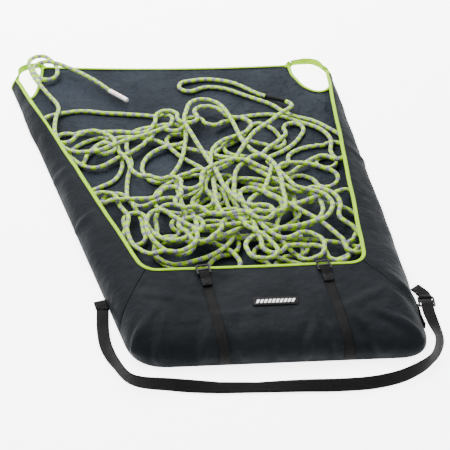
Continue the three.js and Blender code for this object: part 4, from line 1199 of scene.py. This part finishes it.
def addTape(name, points, across, body, *nodes):
    profile = stripProfile(cornerLoop["width"], cornerLoop["thickness"])
    settle(sweep(name, profile, stripFrames(points, across), limeTape), "binding", body, *nodes)


def smoothed(points, across, step=0.003):
    points, across = np.array(points, float), np.array(across, float)
    s = lengths(points)
    t = np.linspace(0, s[-1], max(6, int(s[-1] / step)))
    return throughAt(points, s, t), unit(throughAt(across, s, t))


def throughAt(points, s, t):
    return np.stack([np.interp(t, s, points[:, k]) for k in range(3)], 1)


def addLoops():
    for side, name, body in ((-1, "left", "bag"), (1, "right", "right_corner_loop")):
        points, across = loopPath(side)
        addTape(f"{name}CornerLoop", points, across, body, f"{name}_corner_loop")
        addTape(f"{name}LoopTab", *smoothed(*tabPath(side, points)), "bag")
        rim = mouthEdge[0] if side < 0 else mouthEdge[-1]
        start = points[0] - unit(points[1] - points[0]) * cornerLoop["clear"]
        tuck = [rim + (rim - start) * 0.5 - np.array([0, 0, 0.004]), (rim + start) / 2, start]
        addTape(f"{name}RimTab", *smoothed(tuck, [(0, 0, 1)] * 3), "bag")


addLoops()

# straps on the pocket

strap = {
    "width": 0.02, "thickness": 0.0014, "mouthX": (-0.144, 0.095), "frontX": (-0.114, 0.122), "stop": 0.19,
    "eye": 0.004, "neck": 0.0104, "closed": 0.0128, "fold": 0.022, "lift": 0.0019,
}


def columnAt(row, x):
    # the grid column where the pocket's row passes x
    places = np.array([onShell(c, row)[0][0] for c in range(leftSeam + 8, rightSeam - 8)])
    return leftSeam + 8 + float(np.interp(x, places, np.arange(len(places))))


def rowAt(y, column):
    places = np.array([onShell(column, r)[0][1] for r in range(allGrid.shape[1])])
    return float(np.interp(y, places, np.arange(len(places))))


def addWebbing(name, width, thickness, points, across, body, node):
    piece = sweep(name, stripProfile(width, thickness), stripFrames(points, across), blackWebbing)
    settle(piece, "webbing", body, node)


def addStrap(index, side):
    # up over the pocket, round the buckle's sewn bar and back down on itself
    middle = (leftSeam + rightSeam) / 2
    points, normals = [], []
    stop = rowAt(strap["stop"] + bagShift[1], middle)
    for row in np.linspace(1.5, stop, 44):
        y = onShell(middle, row)[0][1] - bagShift[1]
        start, end = strap["frontX"][index], strap["mouthX"][index]
        p, n = onShell(columnAt(row, start + (end - start) * y / strap["stop"] + bagShift[0]), row)
        points.append(p + n * strap["lift"])
        normals.append(n)
    bar, axis = jointOf(f"{side}_buckle")
    up = unit(np.cross(axis, np.array([-axis[1], axis[0], 0.0])))
    rise = np.cross(up, axis)
    base = bar - up * strap["eye"]
    points, normals = points[:-6], normals[:-6]
    across = [np.cross(unit(q), n) for q, n in zip(np.gradient(np.array(points), axis=0), normals)]
    bridge = [base - rise * 0.012, base - rise * 0.006]
    for k in range(13):
        turn = -math.pi / 2 + math.pi * k / 12
        bridge.append(bar + rise * strap["eye"] * math.cos(turn) + up * strap["eye"] * math.sin(turn))
    over, closed, fold = strap["thickness"] + 0.0007, strap["closed"], strap["fold"]
    for back, lift in ((strap["neck"], over + 0.0003), (closed, over), (closed + fold * 0.5, over),
                       (closed + fold, over)):
        bridge.append(base - rise * back + up * lift)
    addWebbing(f"{side}CompressionStrap", strap["width"], strap["thickness"], points + bridge,
               across + [axis] * len(bridge), "bag", f"{side}_compression_strap")


addStrap(0, "left")
addStrap(1, "right")

# label

label = {
    "width": 0.089, "height": 0.022, "thickness": 0.0016, "x": -0.01, "fromFront": 0.107, "corner": 0.005,
    "bars": 10, "barPitch": 0.0076, "barHeight": 0.0005,
    "bar": ((-0.0044, -0.0048), (0.0006, -0.0048), (0.0044, 0.0048), (-0.0006, 0.0048)),
}


def roundedOutline(width, height, corner, count=6):
    out = []
    for cx, cy, first in ((1, 1, 0), (-1, 1, 1), (-1, -1, 2), (1, -1, 3)):
        for k in range(count + 1):
            turn = (first + k / count) * math.pi / 2
            out.append((cx * (width / 2 - corner) + corner * math.cos(turn),
                        cy * (height / 2 - corner) + corner * math.sin(turn)))
    return out


def plate(name, outline, height, origin, across, rise, out, material):
    # a thin moulded plate on a flat outline, its top edge rounded over
    rings = [(1.0, 0.0), (1.0, height * 0.75), (0.97, height), (0.6, height * 1.02)]
    verts = []
    midX, midY = np.mean(outline, axis=0)
    for scale, z in rings:
        for x, y in outline:
            flat = across * (midX + (x - midX) * scale) + rise * (midY + (y - midY) * scale)
            verts.append(origin + flat + out * z)
    return ringMesh(name, verts, [z for scale, z in rings], range(len(outline) + 1), material, laid=False)


def labelFrame():
    row = rowAt(label["fromFront"] + bagShift[1], (leftSeam + rightSeam) / 2)
    column = columnAt(row, label["x"] + bagShift[0])
    out = onShell(column, row)[1]
    out = unit(np.array([0, out[1], out[2]]))
    rise = unit(np.cross(out, (1, 0, 0)))
    return middleOf("label_patch"), np.array([1.0, 0, 0]), rise, out


def addLabel():
    centre, across, rise, out = labelFrame()
    outline = roundedOutline(label["width"], label["height"], label["corner"])
    patch = plate("labelPatch", outline, label["thickness"], centre - out * 0.0006, across, rise, out,
                  patchBlack)
    settle(patch, "label", "bag", "label_patch")
    # a plain twisted-cord mark: slanted bars in a row, no lettering
    bars = []
    for k in range(label["bars"]):
        x = (k - (label["bars"] - 1) / 2) * label["barPitch"]
        bars.append(plate(f"bar{k}", [(a + x, b) for a, b in label["bar"]], label["barHeight"],
                          centre + out * 0.0011, across, rise, out, markWhite))
    settle(joinPieces("labelMark", bars), "label", "bag")


def joinPieces(name, objects):
    mesh = bpy.data.meshes.new(name)
    work = bmesh.new()
    for obj in objects:
        work.from_mesh(obj.data)
    work.to_mesh(mesh)
    work.free()
    mesh.materials.append(objects[0].data.materials[0])
    for obj in objects:
        bpy.data.objects.remove(obj)
    made = bpy.data.objects.new(name, mesh)
    scene.collection.objects.link(made)
    return made


addLabel()

# shoulder strap

carry = {
    "width": 0.025, "thickness": 0.0016, "y": 0.158, "z": 0.005, "clear": 0.0022, "plate": 0.022,
    "tailWidth": 0.013, "tailThickness": 0.0024, "endClear": 0.0015, "slant": 0.0165,
    "rootThickness": (0.0012, 0.0014),
}
# share of the way across from root to root, y in millimetres, lean in degrees
carryRoute = [
    (0.0018, 104, 6), (0.0127, 55, 24), (0.0423, 5, 62), (0.0907, -40, 74), (0.2045, -55, 52),
    (0.3371, -61, 14), (0.4525, -63, 6), (0.5788, -67, 26), (0.7004, -72, 46), (0.7972, -68, 44),
    (0.8862, -53, 52), (0.9704, -18, 76), (1.0079, 32, 44), (1.0063, 82, 12),
]


def addShoulderStrap():
    left = middleOf("left_strap_root")[0] + 0.0034
    right = jointOf("shoulder_strap")[0][0]
    start = carry["y"] + bagShift[1] - carry["clear"]
    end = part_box("strap_adjuster")[0].y - carry["endClear"]
    stops = [(left, start + 0.0012, carry["z"]), (left, start - 0.0125, carry["z"])]
    stops += [(left + (right - left) * share, y / 1000 + bagShift[1],
               0.0014 + carry["width"] / 2 * math.sin(math.radians(lean))) for share, y, lean in carryRoute]
    stops += [(right, end - 0.0125, carry["z"]), (right, end, carry["z"])]
    leans = [0, 0, *[lean for share, y, lean in carryRoute], 0, 0]
    stops = np.array(stops)
    path = throughPoints(stops, 0.005)
    s = lengths(stops)
    where = lengths(path) * s[-1] / lengths(path)[-1]
    lean = np.radians(np.interp(where, s, leans))
    tangent = unit(np.gradient(path, axis=0))
    flat = unit(np.cross((0, 0, 1.0), tangent))
    across = flat * np.cos(lean)[:, None] + np.array([0, 0, 1.0]) * np.sin(lean)[:, None]
    path[:, 2] = np.maximum(path[:, 2], 0.0016 + carry["width"] / 2 * np.sin(lean))
    # the end runs on up to the adjuster's middle bar
    points = np.vstack([path[:-1], [(right, end + 0.006, 0.0075), (right, end + 0.0115, 0.0082)]])
    across = np.vstack([across[:-1], [across[-1]] * 2])
    addWebbing("shoulderStrap", carry["width"] * 0.98, carry["thickness"], points, across,
               "shoulder_strap", "shoulder_strap")


addShoulderStrap()


def addRoots():
    low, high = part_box("left_strap_root")
    x, y, z = middleOf("left_strap_root")
    half = carry["width"] / 2
    # left root: webbing folded over itself and sewn to the wall
    end = low.y - carry["clear"] + 0.0003
    points = [(low.x + half, high.y + 0.002, z + 0.0009), (x, y, z + 0.0009),
              (high.x - half, end + 0.001, z + 0.0008), (high.x - half, end, z),
              (high.x - half, end + 0.001, z - 0.0008), (x, y, z - 0.0009),
              (low.x + half, high.y + 0.002, z - 0.0009)]
    thin, thick = carry["rootThickness"]
    addWebbing("leftStrapRoot", carry["width"], thin, points, [(1, 0, 0)] * len(points), "bag",
               "left_strap_root")
    # right root: a tab that runs round the adjuster's sewn bar and slants back to the wall
    bar = jointOf("shoulder_strap")[0]
    eye, closed, fold, over = strap["eye"], strap["closed"], strap["fold"], 0.002
    profile = [(-carry["plate"], 0), (-0.012, 0), (-0.006, 0)]
    for k in range(13):
        turn = -math.pi / 2 + math.pi * k / 12
        profile.append((eye * math.cos(turn), eye + eye * math.sin(turn)))
    profile += [(-strap["neck"], over + 0.0003), (-closed, over), (-closed - 0.011, over),
                (-closed - fold, over)]
    points = [(bar[0] + carry["slant"] * min(0, (s + closed) / fold), bar[1] - s, bar[2] - eye + h)
              for s, h in profile]
    addWebbing("rightStrapRoot", carry["width"], thick, points, [(1, 0, 0)] * len(points), "bag",
               "right_strap_root")
    # the strap's free end, standing on its edge beside the bag
    low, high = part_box("strap_tail")
    x0, x1 = low.x + 0.0014, high.x - 0.0014
    points = [(x0 + (x1 - x0) * t - 0.001 * math.sin(math.pi * t), high.y + (low.y - high.y) * t,
               0.0079 + 0.0012 * t) for t in np.linspace(0, 1, 14)]
    addWebbing("strapTail", carry["tailWidth"], carry["tailThickness"], points, [(0, 0, 1)] * 14, "strap_tail",
               "strap_tail")


addRoots()
for node in ("left_buckle", "right_buckle", "strap_adjuster"):
    obj = frame["nodes"][node]
    obj.data.materials.clear()
    obj.data.materials.append(blackPlastic)
print("straps made")

# stitches: a geometry nodes tree sets a small thread knot along every seam line

stitch = {"pitch": 0.0042, "length": 0.003, "width": 0.0007, "seed": 4}


def stitchTree():
    tree = bpy.data.node_groups.new("stitchRow", "GeometryNodeTree")
    face = tree.interface
    face.new_socket("Geometry", in_out="INPUT", socket_type="NodeSocketGeometry")
    for name, value in (("Pitch", stitch["pitch"]), ("Length", stitch["length"]), ("Width", stitch["width"])):
        face.new_socket(name, in_out="INPUT", socket_type="NodeSocketFloat").default_value = value
    face.new_socket("Seed", in_out="INPUT", socket_type="NodeSocketInt").default_value = stitch["seed"]
    face.new_socket("Thread", in_out="INPUT", socket_type="NodeSocketMaterial")
    face.new_socket("Geometry", in_out="OUTPUT", socket_type="NodeSocketGeometry")
    link = tree.links.new

    def add(kind, **settings):
        made = tree.nodes.new(kind)
        for key, value in settings.items():
            setattr(made, key, value)
        return made

    entry, out = add("NodeGroupInput"), add("NodeGroupOutput")
    curve = add("GeometryNodeMeshToCurve")
    even = add("GeometryNodeResampleCurve", mode="LENGTH")
    link(entry.outputs["Geometry"], curve.inputs[0])
    link(curve.outputs[0], even.inputs["Curve"])
    link(entry.outputs["Pitch"], even.inputs["Length"])
    ball = add("GeometryNodeMeshIcoSphere")
    ball.inputs["Radius"].default_value = 0.5
    ball.inputs["Subdivisions"].default_value = 1
    size = add("ShaderNodeCombineXYZ")
    link(entry.outputs["Length"], size.inputs[0])
    link(entry.outputs["Width"], size.inputs[1])
    link(entry.outputs["Width"], size.inputs[2])
    tangent = add("GeometryNodeInputTangent")
    align = add("FunctionNodeAlignRotationToVector", axis="X")
    link(tangent.outputs[0], align.inputs["Vector"])
    place = add("GeometryNodeInstanceOnPoints")
    link(even.outputs[0], place.inputs["Points"])
    link(ball.outputs["Mesh"], place.inputs["Instance"])
    link(align.outputs[0], place.inputs["Rotation"])
    vary = add("FunctionNodeRandomValue", data_type="FLOAT_VECTOR")
    vary.inputs[0].default_value = (0.9, 0.9, 0.9)
    vary.inputs[1].default_value = (1.1, 1.1, 1.1)
    link(entry.outputs["Seed"], vary.inputs["Seed"])
    scale = add("ShaderNodeVectorMath", operation="MULTIPLY")
    link(size.outputs[0], scale.inputs[0])
    link(vary.outputs[0], scale.inputs[1])
    link(scale.outputs[0], place.inputs["Scale"])
    real = add("GeometryNodeRealizeInstances")
    paint = add("GeometryNodeSetMaterial")
    link(place.outputs[0], real.inputs[0])
    link(real.outputs[0], paint.inputs["Geometry"])
    link(entry.outputs["Thread"], paint.inputs["Material"])
    link(paint.outputs[0], out.inputs[0])
    return tree


stitchNodes = stitchTree()


def addStitches(name, lines, thread, slot):
    verts, edges = [], []
    for line in lines:
        first = len(verts)
        verts.extend(tuple(float(c) for c in p) for p in line)
        edges.extend((first + k, first + k + 1) for k in range(len(line) - 1))
    mesh = bpy.data.meshes.new(name)
    mesh.from_pydata(verts, edges, [])
    guide = bpy.data.objects.new(name + "Guide", mesh)
    scene.collection.objects.link(guide)
    modifier = guide.modifiers.new("stitches", "NODES")
    modifier.node_group = stitchNodes
    given = {"Thread": thread, "Pitch": stitch["pitch"], "Length": stitch["length"],
             "Width": stitch["width"], "Seed": stitch["seed"]}
    for item in stitchNodes.interface.items_tree:
        if item.in_out == "INPUT" and item.name in given:
            modifier[item.identifier] = given[item.name]
    bpy.context.view_layer.update()
    graph = bpy.context.evaluated_depsgraph_get()
    made = bpy.data.meshes.new_from_object(guide.evaluated_get(graph))
    bpy.data.objects.remove(guide)
    obj = bpy.data.objects.new(name, made)
    scene.collection.objects.link(obj)
    settle(obj, slot, "bag")


def offsetLine(frames, a, b):
    return [p + out * a + off * b for p, out, off in frames]


def shellLine(rows, column, lift):
    found = [onShell(column, row) for row in rows]
    return [p + n * lift for p, n in found]


def boxStitch(centre, across, rise, out, width, height):
    w, h = width / 2, height / 2
    a, b, c, d = (centre + across * x + rise * y + out for x, y in ((-w, -h), (w, -h), (w, h), (-w, h)))
    return [[a, b, c, d, a], [a, c], [b, d]]


def allStitches():
    b = binding
    off = b["slot"] + b["wall"] + 0.0001
    rows = [offsetLine(f, -b["overlap"] * 0.55, off) for f in (mouthFrames, leftEnd, rightEnd, farFrames,
                                                               cutFrames[-1], cutFrames[1])]
    rows += [offsetLine(f, -b["overlap"] * 0.55, -off) for f in (mouthFrames, leftEnd, rightEnd)]
    addStitches("bindingStitches", rows, limeThread, "binding")
    top = bag["fabric"] / 2 + 0.0001
    seams = []
    for seam in (leftSeam, rightSeam):
        for shift in (-0.7, 0.7):
            seams.append(shellLine(np.linspace(2, allGrid.shape[1] - 5, 80), seam + shift, top))
    centre, across, rise, out = labelFrame()
    patch = roundedOutline(label["width"] - 0.005, label["height"] - 0.005, label["corner"] - 0.0022)
    patch.append(patch[0])
    seams.append([centre + across * x + rise * y + out * 0.0011 for x, y in patch])
    addStitches("seamStitches", seams, blackThread, "shell")
    right, ahead, up = np.eye(3)
    boxes = boxStitch(middleOf("left_strap_root"), right, ahead, up * 0.0017, 0.018, 0.016)
    low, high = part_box("right_strap_root")
    middle = np.array([middleOf("right_strap_root")[0], high.y - 0.009, low.z + 0.0014 + 0.002])
    boxes += boxStitch(middle, right, ahead, up * 0.0001, 0.018, 0.012)
    for side in ("left", "right"):
        bar, axis = jointOf(f"{side}_buckle")
        rise = unit(np.cross(up, axis))
        spot = bar - up * strap["eye"] - rise * (strap["closed"] + strap["fold"] * 0.5)
        boxes += boxStitch(spot, axis, rise, up * (0.0021 + strap["thickness"] / 2 + 0.0001), 0.015, 0.015)
    addStitches("strapStitches", boxes, blackThread, "webbing")


allStitches()
print("stitches made")

# studio

studio = {
    "floorSize": 14.0, "floorZ": -0.0012, "floorGlow": 5.0, "sky": 0.6,
    "lamps": (("keyLight", 150.0, 1.6, (-0.9, 0.9, 2.0)), ("fillLight", 40.0, 2.2, (1.7, -0.3, 1.9)),
              ("rimLight", 70.0, 1.4, (0.2, 1.9, 1.4))),
}


def makeStudio():
    paint = Paint("paleFloor", Roughness=0.7, Emission_Strength=studio["floorGlow"])
    mottle = paint.noise(3.0, 2.0, 0.5)
    tone = paint.mix(mottle * 0.3, (0.9, 0.9, 0.9), (0.88, 0.88, 0.885))
    paint.set(Base_Color=tone, Emission_Color=tone)
    half = studio["floorSize"] / 2
    grid = [(-half + studio["floorSize"] * i / 8, -half + studio["floorSize"] * j / 8, studio["floorZ"])
            for i in range(9) for j in range(9)]
    faces = [(i * 9 + j, (i + 1) * 9 + j, (i + 1) * 9 + j + 1, i * 9 + j + 1)
             for i in range(8) for j in range(8)]
    mesh = bpy.data.meshes.new("studioFloor")
    mesh.from_pydata(grid, [], faces)
    mesh.materials.append(paint.material)
    floor = bpy.data.objects.new("studioFloor", mesh)
    scene.collection.objects.link(floor)
    world = bpy.data.worlds.new("studioWorld")
    world.use_nodes = True
    world.node_tree.nodes["Background"].inputs[0].default_value = (1, 1, 1, 1)
    world.node_tree.nodes["Background"].inputs[1].default_value = studio["sky"]
    scene.world = world
    for name, power, size, place in studio["lamps"]:
        lamp = bpy.data.lights.new(name, "AREA")
        lamp.energy = power
        lamp.size = size
        obj = bpy.data.objects.new(name, lamp)
        scene.collection.objects.link(obj)
        obj.location = place
        obj.rotation_euler = (-Vector(place)).to_track_quat("-Z", "Y").to_euler()


makeStudio()
print("studio made")
